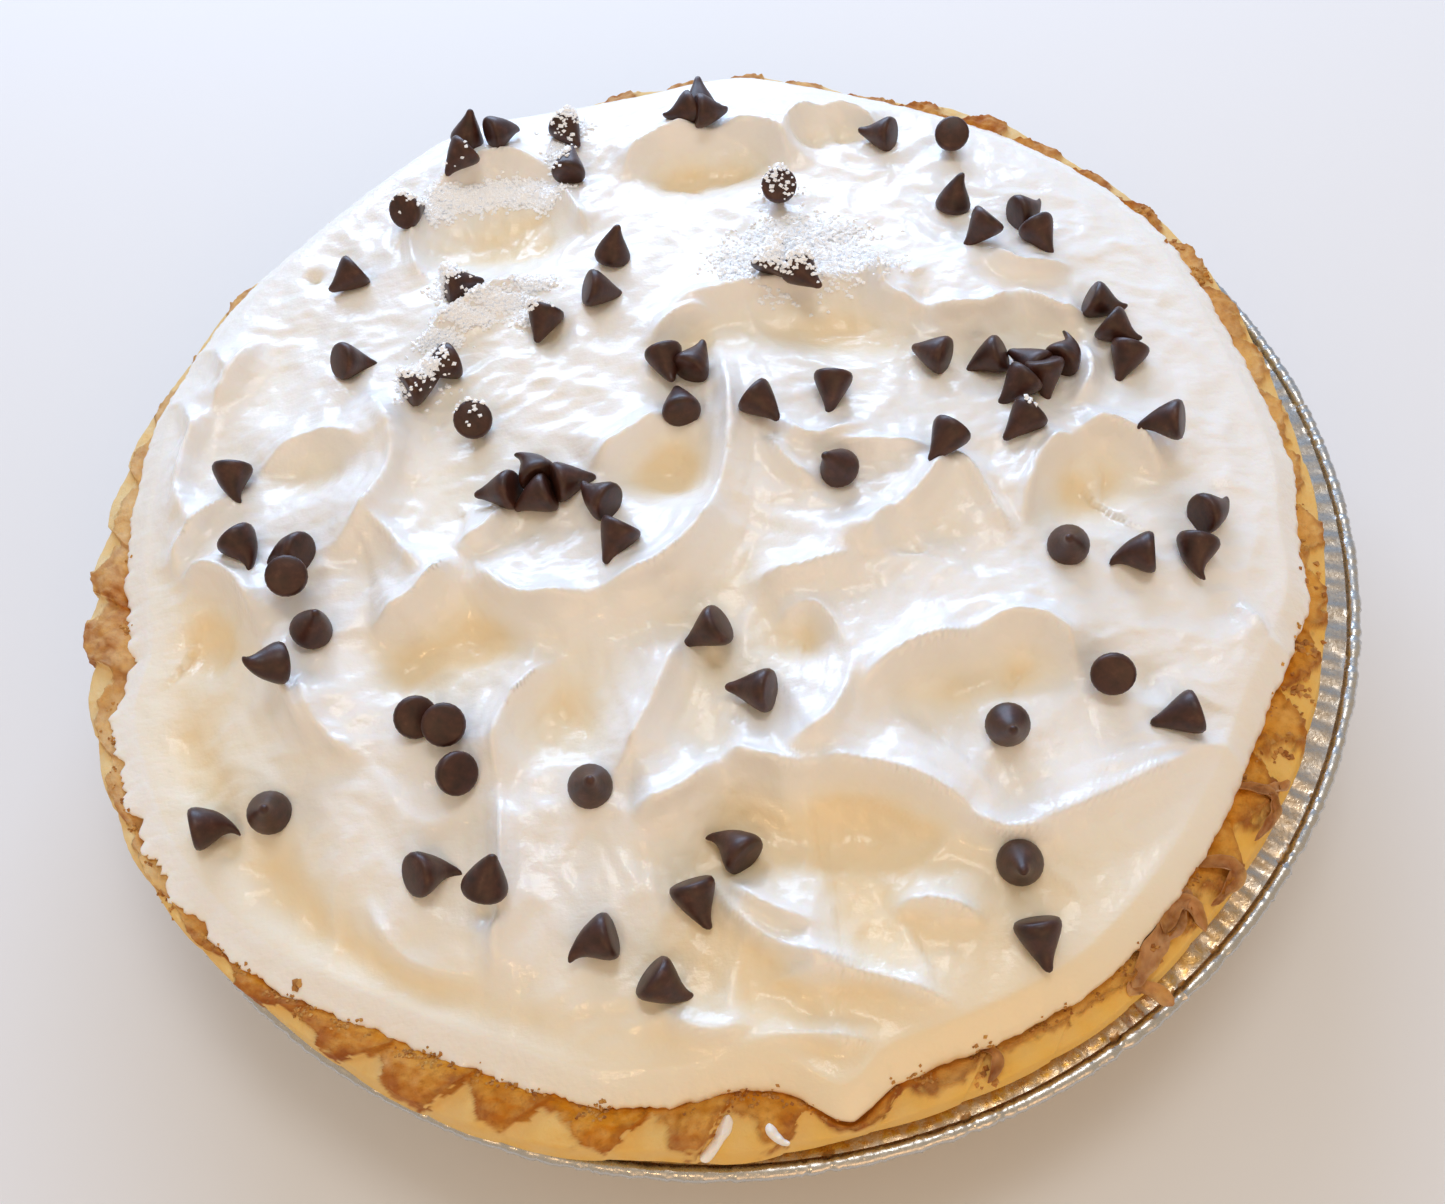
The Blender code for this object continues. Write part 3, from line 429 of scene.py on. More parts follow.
# Their patches: x, y, half length along x, half length along y, number.
FROST = (
    (-58, 79, 5, 3, 450), (-51, 83, 6, 3, 800), (-43, 85, 6, 3, 800), (-36, 83, 5, 3, 600),
    (-30, 80, 4, 3, 340), (-27, 91, 3, 6, 380), (-25, 102, 4, 4, 420), (-54, 38, 4, 2, 320),
    (-48, 43, 5, 2, 560), (-41, 47, 6, 2, 520), (-34, 51, 5, 2, 280), (-52, 53, 4, 4, 420),
    (-34, 42, 4, 3, 200), (-60, 27, 3, 5, 260), (-56, 28, 4, 4, 360), (20, 44, 8, 5, 800),
    (12, 49, 7, 6, 800), (29, 47, 8, 6, 800), (24, 56, 13, 7, 1000), (38, 44, 7, 4, 180),
    (21, 70, 4, 5, 90), (62, 2, 2, 2, 18), (-47, 15, 3, 4, 20),
)

# Baked crumbs
CRUMBS_PER_CLUMP = 6
CRUMB_FLATNESS = 0.75
CRUMB_SPREAD = 0.35
CLUMP_OFFSET = 0.8
CLUMP_SPREAD = 0.5
EDGE_CRUMB = (0.25, 0.65)
RIM_CRUMB = (0.5, 1.1)
CRUMB_LIGHT = "D39A58"
CRUMB_DARK = "9C6233"
# Arcs of the topping's edge with a number, and heaps as x, y, half size, number.
CRUMB_ARCS = (
    (5, 35, 30), (178, 200, 30), (200, 218, 40), (219, 226, 30), (227, 238, 70),
    (238, 258, 130), (262, 268, 40), (268, 274, 30), (276, 282, 30), (285, 288, 20),
    (291, 297, 30), (299, 304, 40), (305, 310, 30), (316, 330, 30), (345, 358, 20),
)
CRUMB_HEAPS = (
    (-78, -91, 1, 8), (33, -116, 2, 10), (62, -100, 2, 14), (95, -67, 2, 14), (101, -56, 3, 20),
    (104, -47, 3, 24), (110, -33, 3, 16), (111, 44, 3, 24), (108, 54, 3, 12), (104, 63, 3, 16),
    (126, -8, 1, 6), (125, -4, 1, 4),
)

# Flakes that curl up from the rim, and slivers of topping dropped on it: start, middle and end
# as x, y, then width and how far the long edges stand up.
FLAKES = (
    (71.9, -89.8, 65.8, -96.8, 58.8, -104.9, 3.6, 1.5), (58, -106, 61, -105, 65, -108, 2.6, 0.8),
    (66, -97, 70, -92, 73, -97, 3.0, 1.6), (74, -86, 80, -88, 75, -93, 2.4, 1.6),
    (84, -73, 90, -77, 85, -83, 1.9, 1.3), (31, -111, 35, -113, 33, -117, 1.8, 1.3),
    (87, -74, 90, -75, 94, -73, 1.8, 1.0),
)
# How far an end of one may hang down past the rim.
RIBBON_DROP = 1.2
RIBBON_STEPS = 32
RIBBON_ACROSS = 11
RIBBON_CURLS = ((0.4, 2.0, 31), (0.2, 0.9, 32))
RIBBON_TORN = 0.7
RIBBON_TORN_SIZE = 2.6
FLAKE_THICK = 0.3
SLIVER_THICK = 0.9
FLAKE_SPOTS = ((0.6, 2.4, 35), (0.4, 0.9, 36))
FLAKE_LIGHT = "D8A878"
FLAKE_DARK = "A06A42"
SLIVERS = ((-8, -118, -10, -121, -13, -124, 1.9, -0.7), (-2, -120, -1, -122, 1, -123, 1.5, -0.6))

# Seeds of the random draws
FLUTE_SEED = 6
PAD_SEED = 7
HUE_SEED = 10
CHIP_SEED = 5
FROST_SEED = 8
CRUMB_SEED = 9

# Lights: name, place and size in metres, watts and colour. All point at the pie's middle.
PIE_MIDDLE = (0, 0, 0.04)
LIGHTS = (
    ("back_window", (-0.08, 1.0, 0.45), (0.9, 0.4), 10.2, "C2DCFF"),
    ("ceiling", (0.1, 0.3, 1.2), (0.5, 0.3), 2.6, "F6F4F0"),
    ("front_fill", (0.3, -1.0, 0.55), (0.8, 0.5), 1.7, "FFC890"),
    ("front_lamp", (-0.35, -0.7, 1.1), (0.12, 0.08), 0.9, "FFD09A"),
)
ROOM_LIGHT = 0.61
ROOM_WARM = "F4E0C6"
ROOM_COOL = "D4E6FF"
COOL_BACK = (0.15, 0.7)
FLOOR_COLOUR = "EDF0F5"
FLOOR_REACH = 3.0
FLOOR_CORNERS = ((-1, -1), (1, -1), (1, 1), (-1, 1))

# Camera, in metres
CAMERA_PLACE = (0.0, -0.15039, 0.25437)
CAMERA_RIGHT = (0.99447623, -0.0893705, -0.05504493)
CAMERA_UP = (0.10491925, 0.86138009, 0.49700733)
CAMERA_LENS = 32.39
SENSOR_WIDTH = 36.0


# Shared shapes


def polar(radius, angle, height):
    """Points of a ring from radius, angle in degrees and height, each a number or an array."""
    turn = np.radians(angle)
    height = np.broadcast_to(height, np.shape(turn))
    return np.stack([radius * np.cos(turn), radius * np.sin(turn), height], axis=-1)


def smooth_step(low, high, value):
    share = np.clip((value - low) / (high - low), 0, 1)
    return share * share * (3 - 2 * share)


def hermite(share, first, start, second, end):
    """Value on the curve between two values, with its slopes at the start and the end."""
    square, cube = share**2, share**3
    return (
        (2 * cube - 3 * square + 1) * first
        + (cube - 2 * square + share) * start
        + (3 * square - 2 * cube) * second
        + (cube - square) * end
    )


def around(pairs, angle):
    """Smooth value at an angle from (angle, value) pairs that go once round."""
    knots = np.array(pairs, float)
    turns = np.concatenate([knots[-2:, 0] - 360, knots[:, 0], knots[:2, 0] + 360])
    values = np.concatenate([knots[-2:, 1], knots[:, 1], knots[:2, 1]])
    angle = np.mod(angle, 360)
    k = np.clip(np.searchsorted(turns, angle, side="right") - 1, 1, len(turns) - 3)
    width = turns[k + 1] - turns[k]
    share = (angle - turns[k]) / width
    start = (values[k + 1] - values[k - 1]) / (turns[k + 1] - turns[k - 1]) * width
    end = (values[k + 2] - values[k]) / (turns[k + 2] - turns[k]) * width
    return hermite(share, values[k], start, values[k + 1], end)


def wobble(points, size, seed):
    """Smooth noise from -1 to 1 at each point, with bumps of about this size."""
    shift = Vector((seed * 17.3, seed * 5.9, seed * 11.1))
    return np.array([noise.noise(Vector(p) + shift) for p in np.asarray(points) / size])


def layered(points, layers):
    """Noise of several sizes laid over each other: (strength, size, seed) each."""
    return sum(strength * wobble(points, size, seed) for strength, size, seed in layers)


def ridged(points, size, seed, steep):
    """Noise folded into sharp ridges that reach 1."""
    return 1 - steep * np.abs(wobble(points, size, seed))


def ridges(points, layers):
    """Ridges of several sizes laid over each other: (height, size, seed) each."""
    return sum(height * ridged(points, size, seed, 2) for height, size, seed in layers)


def ring_faces(around_count, ring_count, start=0):
    """Quads between rings that each have the same number of points."""
    faces = []
    for i in range(ring_count - 1):
        row, following = start + i * around_count, start + (i + 1) * around_count
        for k in range(around_count):
            after = (k + 1) % around_count
            faces.append((row + k, row + after, following + after, following + k))
    return faces


def closed_rings(rings, first_pole, last_pole):
    """Points and faces of a closed skin from one pole over all the rings to the other pole."""
    count, total = len(rings[0]), len(rings)
    points = np.concatenate([[first_pole]] + list(rings) + [[last_pole]])
    faces = [(0, 1 + (k + 1) % count, 1 + k) for k in range(count)]
    faces += ring_faces(count, total, 1)
    end, last = 1 + total * count, 1 + (total - 1) * count
    faces += [(end, last + k, last + (k + 1) % count) for k in range(count)]
    return points, faces


def joined(shapes):
    """Points and faces of several shapes as one skin."""
    points, faces, total = [], [], 0
    for corners, sides in shapes:
        points.append(corners)
        faces += [tuple(total + k for k in side) for side in sides]
        total += len(corners)
    return np.concatenate(points), faces


def mesh_object(name, points, faces, surface, attributes=None, sharp=180):
    """A smooth piece of these points, in millimetres, with named numbers for its material."""
    mesh = bpy.data.meshes.new(name)
    mesh.from_pydata((np.asarray(points) * MM).tolist(), [], faces)
    mesh.shade_smooth()
    if sharp < 180:
        mesh.set_sharp_from_angle(angle=math.radians(sharp))
    for key, values in (attributes or {}).items():
        kind, field = ("FLOAT", "value") if np.ndim(values) == 1 else ("FLOAT_COLOR", "color")
        layer = mesh.attributes.new(key, kind, "POINT")
        layer.data.foreach_set(field, np.asarray(values, np.float32).ravel())
    mesh.materials.append(surface)
    made = bpy.data.objects.new(name, mesh)
    bpy.context.scene.collection.objects.link(made)
    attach(made, "root")
    return made


# Materials


def colour(code):
    """Linear colour from six hexadecimal digits."""
    parts = [int(code[i : i + 2], 16) / 255 for i in (0, 2, 4)]
    linear = [p / 12.92 if p <= 0.04045 else ((p + 0.055) / 1.055) ** 2.4 for p in parts]
    return (*linear, 1.0)


def new_material(name, **settings):
    """A material with its shader's sockets set, and its node tree and shader."""
    made = bpy.data.materials.new(name)
    made.use_nodes = True
    tree = made.node_tree
    shader = tree.nodes["Principled BSDF"]
    for key, value in settings.items():
        shader.inputs[key.replace("_", " ")].default_value = value
    made.diffuse_color = shader.inputs["Base Color"].default_value
    return made, tree, shader


def add_node(tree, kind, inputs, output, **settings):
    """One output of a new node, with its settings made and its inputs linked or set."""
    made = tree.nodes.new("ShaderNode" + kind)
    for key, value in settings.items():
        setattr(made, key, value)
    for key, value in inputs.items():
        if isinstance(value, bpy.types.NodeSocket):
            tree.links.new(value, made.inputs[key])
        else:
            made.inputs[key].default_value = value
    return made.outputs[output]


def add_noise(tree, size, detail=3.0, rough=0.55, stretch=(1, 1, 1)):
    """Noise with features of about this size in millimetres."""
    place = add_node(tree, "TexCoord", {}, "Object")
    place = add_node(tree, "Mapping", {"Vector": place, "Scale": stretch}, "Vector")
    inputs = {"Vector": place, "Scale": 1 / (size * MM), "Detail": detail, "Roughness": rough}
    return add_node(tree, "TexNoise", inputs, "Fac")


def add_attribute(tree, name, output="Fac"):
    return add_node(tree, "Attribute", {}, output, attribute_name=name)


def add_mix(tree, factor, first, code):
    """The first colour, blended into a second that hexadecimal digits give."""
    inputs = {"Factor": factor, 6: first, 7: colour(code)}
    return add_node(tree, "Mix", inputs, 2, data_type="RGBA")


def add_product(tree, first, second):
    return add_node(tree, "Math", {0: first, 1: second}, "Value", operation="MULTIPLY")


def add_ramp(tree, factor, stops):
    """Colours along a factor: (position, hexadecimal colour) pairs."""
    made = tree.nodes.new("ShaderNodeValToRGB")
    band = made.color_ramp
    while len(band.elements) < len(stops):
        band.elements.new(0.5)
    for element, (position, code) in zip(band.elements, stops):
        element.position = position
        element.color = colour(code)
    tree.links.new(factor, made.inputs["Fac"])
    return made.outputs["Color"]


def add_range(tree, value, from_low, from_high, to_low, to_high):
    inputs = {"Value": value, "From Min": from_low, "From Max": from_high}
    inputs.update({"To Min": to_low, "To Max": to_high})
    return add_node(tree, "MapRange", inputs, "Result")


def add_bump(tree, shader, heights):
    """Bumps laid over each other: (height, strength, depth in millimetres) each."""
    below = {}
    for height, strength, depth in heights:
        inputs = {"Height": height, "Strength": strength, "Distance": depth * MM, **below}
        below = {"Normal": add_node(tree, "Bump", inputs, "Normal")}
    for socket in ("Normal", "Coat Normal"):
        tree.links.new(below["Normal"], shader.inputs[socket])


def foil_material():
    made, tree, shader = new_material("foil", Metallic=1.0, Roughness=0.3)
    crease = add_noise(tree, 2.4, 4.0, 0.6)
    grain = add_noise(tree, 0.7, 2.0)
    tree.links.new(add_range(tree, grain, 0.3, 0.7, 0.2, 0.38), shader.inputs["Roughness"])
    uneven = add_range(tree, crease, 0.35, 0.6, 0.4, 1.0)
    # Painted golden reflection of the crust, broken up by the creases.
    reflection_share = add_product(tree, uneven, add_attribute(tree, "butter"))
    tree.links.new(add_ramp(tree, reflection_share, FOIL_AND_REFLECTION_COLOURS), shader.inputs["Base Color"])
    add_bump(tree, shader, ((crease, 0.4, 0.4), (grain, 0.2, 0.08)))
    return made


def crust_material():
    made, tree, shader = new_material(
        "baked_crust",
        Roughness=0.7,
        Specular_IOR_Level=0.15,
        Subsurface_Weight=0.15,
        Subsurface_Radius=(1.0, 0.6, 0.3),
        Subsurface_Scale=0.002,
    )
    patches = add_noise(tree, 4.0, 4.0, 0.6)
    crumb = add_noise(tree, 1.1, 4.0, 0.65)
    fine = add_noise(tree, 0.4, 3.0, 0.6)
    patchy = add_range(tree, patches, 0.46, 0.75, 0.0, 0.45)
    golden = add_mix(tree, patchy, add_attribute(tree, "tint", "Color"), PATCH_GOLD)
    pitted = add_range(tree, crumb, 0.5, 0.72, 0.0, 0.4)
    pits = add_product(tree, pitted, add_attribute(tree, "bake"))
    tree.links.new(add_mix(tree, pits, golden, BAKED_DARK), shader.inputs["Base Color"])
    add_bump(tree, shader, ((patches, 0.2, 1.0), (crumb, 0.45, 0.5), (fine, 0.35, 0.15)))
    return made


def topping_material():
    made, tree, shader = new_material(
        "whipped_topping",
        Roughness=0.42,
        Subsurface_Weight=0.3,
        Subsurface_Radius=(1.0, 0.72, 0.5),
        Subsurface_Scale=0.0009,
        Coat_Weight=0.55,
        Coat_Roughness=0.12,
    )
    # Painted warm shade over the cream's own white.
    shade = add_ramp(tree, add_attribute(tree, "hollow"), CREAM_AND_PAINTED_SHADE_COLOURS)
    tree.links.new(shade, shader.inputs["Base Color"])
    ripple = add_noise(tree, 5.0, 3.0, 0.5)
    streaks = add_noise(tree, 2.2, 3.0, 0.55, stretch=(0.5, 1.6, 1.0))
    pores = add_noise(tree, 0.8, 3.0, 0.6)
    add_bump(tree, shader, ((ripple, 0.35, 0.9), (streaks, 0.2, 0.35), (pores, 0.3, 0.15)))
    return made


def chocolate_material():
    made, tree, shader = new_material(
        "chocolate",
        Base_Color=colour(CHOCOLATE),
        Roughness=0.45,
        Coat_Weight=0.1,
        Coat_Roughness=0.3,
    )
    dust = add_noise(tree, 2.2, 4.0, 0.6)
    tree.links.new(add_ramp(tree, dust, DUST_COLOURS), shader.inputs["Base Color"])
    fine = add_noise(tree, 0.5, 3.0)
    add_bump(tree, shader, ((dust, 0.2, 0.3), (fine, 0.25, 0.06)))
    return made


def frost_material():
    # The crystals glow faintly: painted light on their shaded sides.
    made, _, _ = new_material(
        "frost",
        Base_Color=colour(FROST_WHITE),
        Roughness=0.35,
        Coat_Weight=0.3,
        Coat_Roughness=0.1,
        Emission_Color=colour(FROST_PAINTED_GLOW),
        Emission_Strength=0.1,
    )
    return made


# Foil pan


def pan_rings(angle):
    """Rings of the pan from the outer base edge, round the bead, to the inner base edge."""
    flange_z = PAN_RIM_Z - FLANGE_DROP
    bead_centre = PAN_RADIUS - BEAD_RADIUS
    flange_end = bead_centre - BEAD_RADIUS - BEAD_GAP
    corner = PAN_BASE_RADIUS + PAN_CORNER_RISE
    circle = polar(PAN_RADIUS, angle, PAN_RIM_Z)
    phase = angle * PLEATS / 360 + PLEAT_DRIFT * wobble(circle, *DRIFT_NOISE)
    pleat = 1 - 2 * np.abs(2 * (phase % 1) - 1) ** 0.7
    pleat = pleat * (0.8 + 0.6 * wobble(circle, *PLEAT_NOISE))
    crinkle = ridged(circle, *CRINKLE_NOISE, FOIL_RIDGE)
    fine = ridged(circle, *FINE_NOISE, FOIL_RIDGE)
    plain, crinkled, creased, pleated = BEAD_ROUGH
    bead_size = plain + crinkled * crinkle + creased * fine + pleated * pleat

    def wall(share, side):
        """The sloping wall, with long vertical flutes."""
        radius = corner + (PAN_WALL_TOP_RADIUS - corner) * share
        height = PAN_CORNER_RISE + (flange_z - PAN_CORNER_RISE) * share
        deep = WALL_PLEAT * math.sin(math.pi * min(1.0, share * 1.1))
        return polar(radius + deep * pleat + 0.5 * side, angle, height - 0.45 * side * PAN_FOIL)

    def flange(share, side):
        radius = PAN_WALL_TOP_RADIUS + (flange_end - PAN_WALL_TOP_RADIUS) * share
        lift = FLANGE_PLEAT * pleat * math.sin(math.pi * (0.15 + 0.75 * share)) + 0.1 * crinkle
        return polar(radius, angle, flange_z + np.minimum(lift, FLANGE_LIFT) - side * PAN_FOIL)

    rings = [polar(PAN_BASE_RADIUS, angle, 0.0)]
    rings += [wall(share, 1.0) for share in (0.0, 0.2, 0.4, 0.6, 0.8, 0.97)]
    rings += [flange(share, 1.0) for share in (0.0, 0.5, 0.95)]
    for turn in np.linspace(*BEAD_TURNS, BEAD_STEPS):
        radius = bead_centre + BEAD_RADIUS * bead_size * math.cos(math.radians(turn))
        height = PAN_RIM_Z + BEAD_RISE * bead_size * math.sin(math.radians(turn))
        rings.append(polar(radius, angle, height))
    rings += [flange(share, 0.0) for share in np.linspace(1.0, 0.0, 9)]
    rings += [wall(share, 0.0) for share in (0.95, 0.8, 0.6, 0.4, 0.2, 0.02)]
    rings.append(polar(PAN_BASE_RADIUS - PAN_FOIL * 0.5, angle, PAN_FOIL))
    return rings


def make_pan():
    angle = np.arange(PLEATS * PLEAT_STEPS) * 360.0 / (PLEATS * PLEAT_STEPS)
    points, faces = closed_rings(pan_rings(angle), (0, 0, 0), (0, 0, PAN_FOIL))
    radius, turn = np.hypot(points[:, 0], points[:, 1]), np.arctan2(points[:, 1], points[:, 0])
    # Painted golden reflection of the crust on the flange, strongest at the front right.
    butter = around(PAINTED_GOLD_REFLECTION, np.degrees(turn)) * smooth_step(*PAINTED_GOLD_REFLECTION_ENDS, radius)
    pan = mesh_object("foil_pan", points, faces, foil_material(), {"butter": butter}, sharp=50)
    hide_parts("pan")


# Crust


def crust_radius(angle):
    return around(CRUST_EDGE, angle)


def dent(angle):
    """How far the rim is drawn in from the pan, from 0 to 1."""
    return np.clip((CRUST_RADIUS - crust_radius(angle)) / CRUST_DENT, 0, 1)


def ledge_z(angle):
    """Height of the crust under the topping's edge."""
    return CRUST_LEDGE_Z - LEDGE_DENT_DROP * dent(angle)


def flute_phases():
    """How many flutes come before each point of a rim ring, with its place in its own."""
    return (np.arange(FLUTES)[:, None] + np.array(FLUTE_PHASES)).ravel()


def flute_angle(phase, across):
    """Angles of these phases; the folds lean as they run outward."""
    angle = FOLD_ANGLE + (phase - FOLD_LEAN * max(0.0, across)) * 360 / FLUTES
    return angle + around(FOLD_SHIFT, angle)


def petal(phase):
    """Height along one crimp, from -1 to about 1: it rises slowly and falls at the fold."""
    uneven = 1 + FLUTE_UNEVEN * np.random.default_rng(FLUTE_SEED).uniform(-1, 1, FLUTES)
    place, number = phase % 1, np.floor(phase).astype(int) % FLUTES
    rise = smooth_step(0.0, 0.8, place) * (1 - smooth_step(0.97, 1.0, place))
    return 2 * rise * uneven[number] - 1


def lobe(phase):
    """Outline along one crimp, from -1 at its folds to 1 between them."""
    return 2 * np.sin(math.pi * (phase % 1)) ** 0.6 - 1


def crust_ring(phase, across, lift, reach, height):
    """A ring of the rim: across runs from 0 at the topping's edge to 1 at the outer edge."""
    angle = flute_angle(phase, across)
    inner, outer = around(TOPPING_EDGE, angle) + TOPPING_GAP, crust_radius(angle)
    band = outer - inner
    full = np.clip(band / FULL_BAND, LEAST_BAND_SHARE, 1)
    crimp = petal(phase) * around(CRIMPS, angle)
    outline = LOBE_SHARE * lobe(phase) + (1 - LOBE_SHARE) * petal(phase)
    notch = FLUTE_REACH * outline * around(NOTCHES, angle)
    radius = inner + across * band + reach * notch * full
    rise = lift * CRUST_CREST * around(CRESTS, angle) + height * FLUTE_HEIGHT * crimp
    return polar(radius, angle, ledge_z(angle) + full * rise)


def underside_ring(angle):
    """Where the rim rests on the flange, or on the bead where it reaches that far."""
    least = PAN_WALL_TOP_RADIUS - SHOULDER_INSET
    radius = np.maximum(crust_radius(angle) - UNDERSIDE_INSET, least)
    on_flange = PAN_RIM_Z - FLANGE_DROP + UNDERSIDE_RISE
    on_bead = PAN_RIM_Z + BEAD_RISE + PAN_GAP
    z = on_flange + (on_bead - on_flange) * smooth_step(*CLEAR_OF_BEAD, radius)
    return polar(radius, angle, z)


def pads(phase, across, ring):
    """The baked pad of each flute, the lip along its ragged edge and how near its fold is."""
    draw = np.random.default_rng(PAD_SEED)
    start, size = draw.uniform(0.05, 0.45, FLUTES), draw.uniform(0.8, 1.2, FLUTES)
    shifted = phase + layered(ring, PAD_SHIFTS)
    place, number = shifted % 1, np.floor(shifted).astype(int) % FLUTES
    reach = around(PAD_REACH, flute_angle(phase, across)) * size[number]
    reach = reach * (start[number] + (1 - start[number]) * smooth_step(0.0, 0.85, place))
    off = across - reach + layered(ring, PAD_TEARS)
    pad = smooth_step(0.04, -0.04, off)
    lip = np.exp(-((off / LIP_WIDTH) ** 2)) * smooth_step(0.05, 0.2, place)
    fold = smooth_step(0.84, 0.95, place) * pad
    return pad, lip, fold, np.clip(across / np.maximum(reach, 0.1), 0, 1.2)


def blend(first, second, share):
    """Colours part of the way from the first to the second."""
    share = np.asarray(share)[..., None]
    return np.asarray(first) * (1 - share) + np.asarray(second) * share


def rim_colours(phase, across, ring):
    """Colours of a ring of the rim, with a painted shadow along its folds, and how much it is
    baked.
    """
    draw = np.random.default_rng(HUE_SEED)
    brownness, hue = draw.uniform(0.85, 1.15, FLUTES), draw.uniform(-0.2, 0.2, FLUTES)
    number, angle = np.floor(phase).astype(int) % FLUTES, flute_angle(phase, across)
    pad, lip, fold, outward = pads(phase, across, ring)
    blotch, spot = wobble(ring, BLOTCH_SIZE, 44), wobble(ring, SPOT_SIZE, 45)
    lips = np.clip(around(LIPS, angle) * lip, 0, 1)
    dough = blend(colour(DOUGH_PALE), colour(DOUGH_GOLD), around(GOLD, angle) + 0.3 * blotch)
    rosy = around(ROSY, angle) + hue[number] + 0.9 * (outward - 0.5) + 0.35 * fold + 0.5 * blotch
    baked = blend(colour(BAKED_GOLD), colour(BAKED_ROSY), np.clip(rosy, 0, 1))
    strength = around(BAKING, angle) * brownness[number] * pad
    strength = np.clip(strength * (1.05 + 0.3 * blotch + 0.3 * spot + 0.2 * fold), 0, 1)
    tint = blend(dough, baked, strength)
    tint = blend(tint, colour(BAKED_ROSY), 0.8 * lips)
    # Lips and spots darken by baking; each fold darkens by baking and a painted shadow.
    dark = DARK_LIP * lips + strength * (FOLD_BROWNING_AND_SHADOW * fold + DARK_SPOT * np.clip(spot, 0, 0.5))
    return blend(tint, colour(BAKED_DARK), dark), np.clip(strength + 0.4 * lips, 0, 1)


def crumbled(ring, amount):
    """Rough baked surface: each point moves by layered noise, more where amount is larger."""
    rough = amount * layered(ring, RIM_LUMPS)
    moved = ring.copy()
    moved[:, 2] += rough
    moved[:, :2] *= (1 + 0.5 * rough / np.hypot(ring[:, 0], ring[:, 1]))[:, None]
    return moved


def side_rings(phase, resting, outermost):
    """Rings up the rim's outer side, each with its colours and how much it is baked."""
    ragged = around(RAGGED, flute_angle(phase, 1.0))
    for share in SIDE_SHARES:
        ring = resting + (outermost - resting) * math.sin(share * math.pi / 2)
        ring[:, 2] = resting[:, 2] + (outermost[:, 2] - resting[:, 2]) * share
        tint, brown = rim_colours(phase, 1.0 + 0.2 * (1 - share), ring)
        yield crumbled(ring, ragged * (DOUGH_ROUGH + SIDE_ROUGH * brown)), tint, brown


def upper_rings(phase, outermost):
    """Rings over the rim from its outer edge inward, each with its colours and baking."""
    ragged = around(RAGGED, flute_angle(phase, 1.0))
    section = np.array(RIM_SECTION)
    for across in np.linspace(1.0, section[0, 0], RIM_RINGS):
        shares = (np.interp(across, section[:, 0], section[:, k]) for k in (1, 2, 3))
        ring = crust_ring(phase, across, *shares)
        ring[:, 2] += smooth_step(0.8, 1.0, across) ** 2 * (outermost[:, 2] - ring[:, 2])
        pad, lip, _, _ = pads(phase, across, ring)
        tint, brown = rim_colours(phase, across, ring)
        lips = LIP_HEIGHT * lip * around(LIPS, flute_angle(phase, across))
        ring[:, 2] += (PAD_HEIGHT * pad + lips) * smooth_step(1.05, 0.9, across)
        yield crumbled(ring, ragged * (DOUGH_ROUGH + PAD_ROUGH * brown)), tint, brown


def make_crust():
    phase = flute_phases()
    edge_angle, inner_angle = flute_angle(phase, 1.0), flute_angle(phase, 0.0)
    resting = underside_ring(edge_angle)
    outermost = crust_ring(phase, 1.0, 0.0, 1.0, 0.0)
    outermost[:, 2] += WIDEST_SHARE * (resting[:, 2] - outermost[:, 2])
    base_z = PAN_FOIL + PAN_GAP
    base_radius = PAN_BASE_RADIUS - PAN_GAP
    wall_top = PAN_WALL_TOP_RADIUS - INNER_FOIL * PAN_FOIL - PAN_GAP
    under_topping = around(TOPPING_EDGE, inner_angle) - BASE_INSET
    in_pan = [
        polar(base_radius, edge_angle, base_z),
        polar(base_radius + PAN_CORNER_RISE, edge_angle, PAN_CORNER_RISE + base_z),
        polar(wall_top - WALL_TOP_INSET, edge_angle, PAN_RIM_Z - FLANGE_DROP + WALL_TOP_RISE),
        resting,
    ]
    plain = (np.tile(colour(DOUGH_PALE), (len(phase), 1)), np.zeros(len(phase)))
    layers = [(ring, *plain) for ring in in_pan]
    layers += side_rings(phase, resting, outermost)
    layers += upper_rings(phase, outermost)
    layers.append((polar(under_topping, inner_angle, ledge_z(inner_angle)), *plain))
    rings, tints, bake = zip(*layers)
    points, faces = closed_rings(rings, (0, 0, base_z), (0, 0, CRUST_LEDGE_Z))
    values = {
        "bake": np.concatenate([[0], *bake, [0]]),
        "tint": np.concatenate([plain[0][:1], *tints, plain[0][:1]]),
    }
    crust = mesh_object("crust_rim", points, faces, crust_material(), values)
    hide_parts("crust")
    return crust


# Topping


def curve_points(x0, y0, x1, y1, x2, y2, count):
    """Points along the parabola through three points."""
    t = np.linspace(0, 1, count)
    start, middle, end = 2 * (t - 0.5) * (t - 1), 4 * t * (1 - t), 2 * t * (t - 0.5)
    return start * x0 + middle * x1 + end * x2, start * y0 + middle * y1 + end * y2


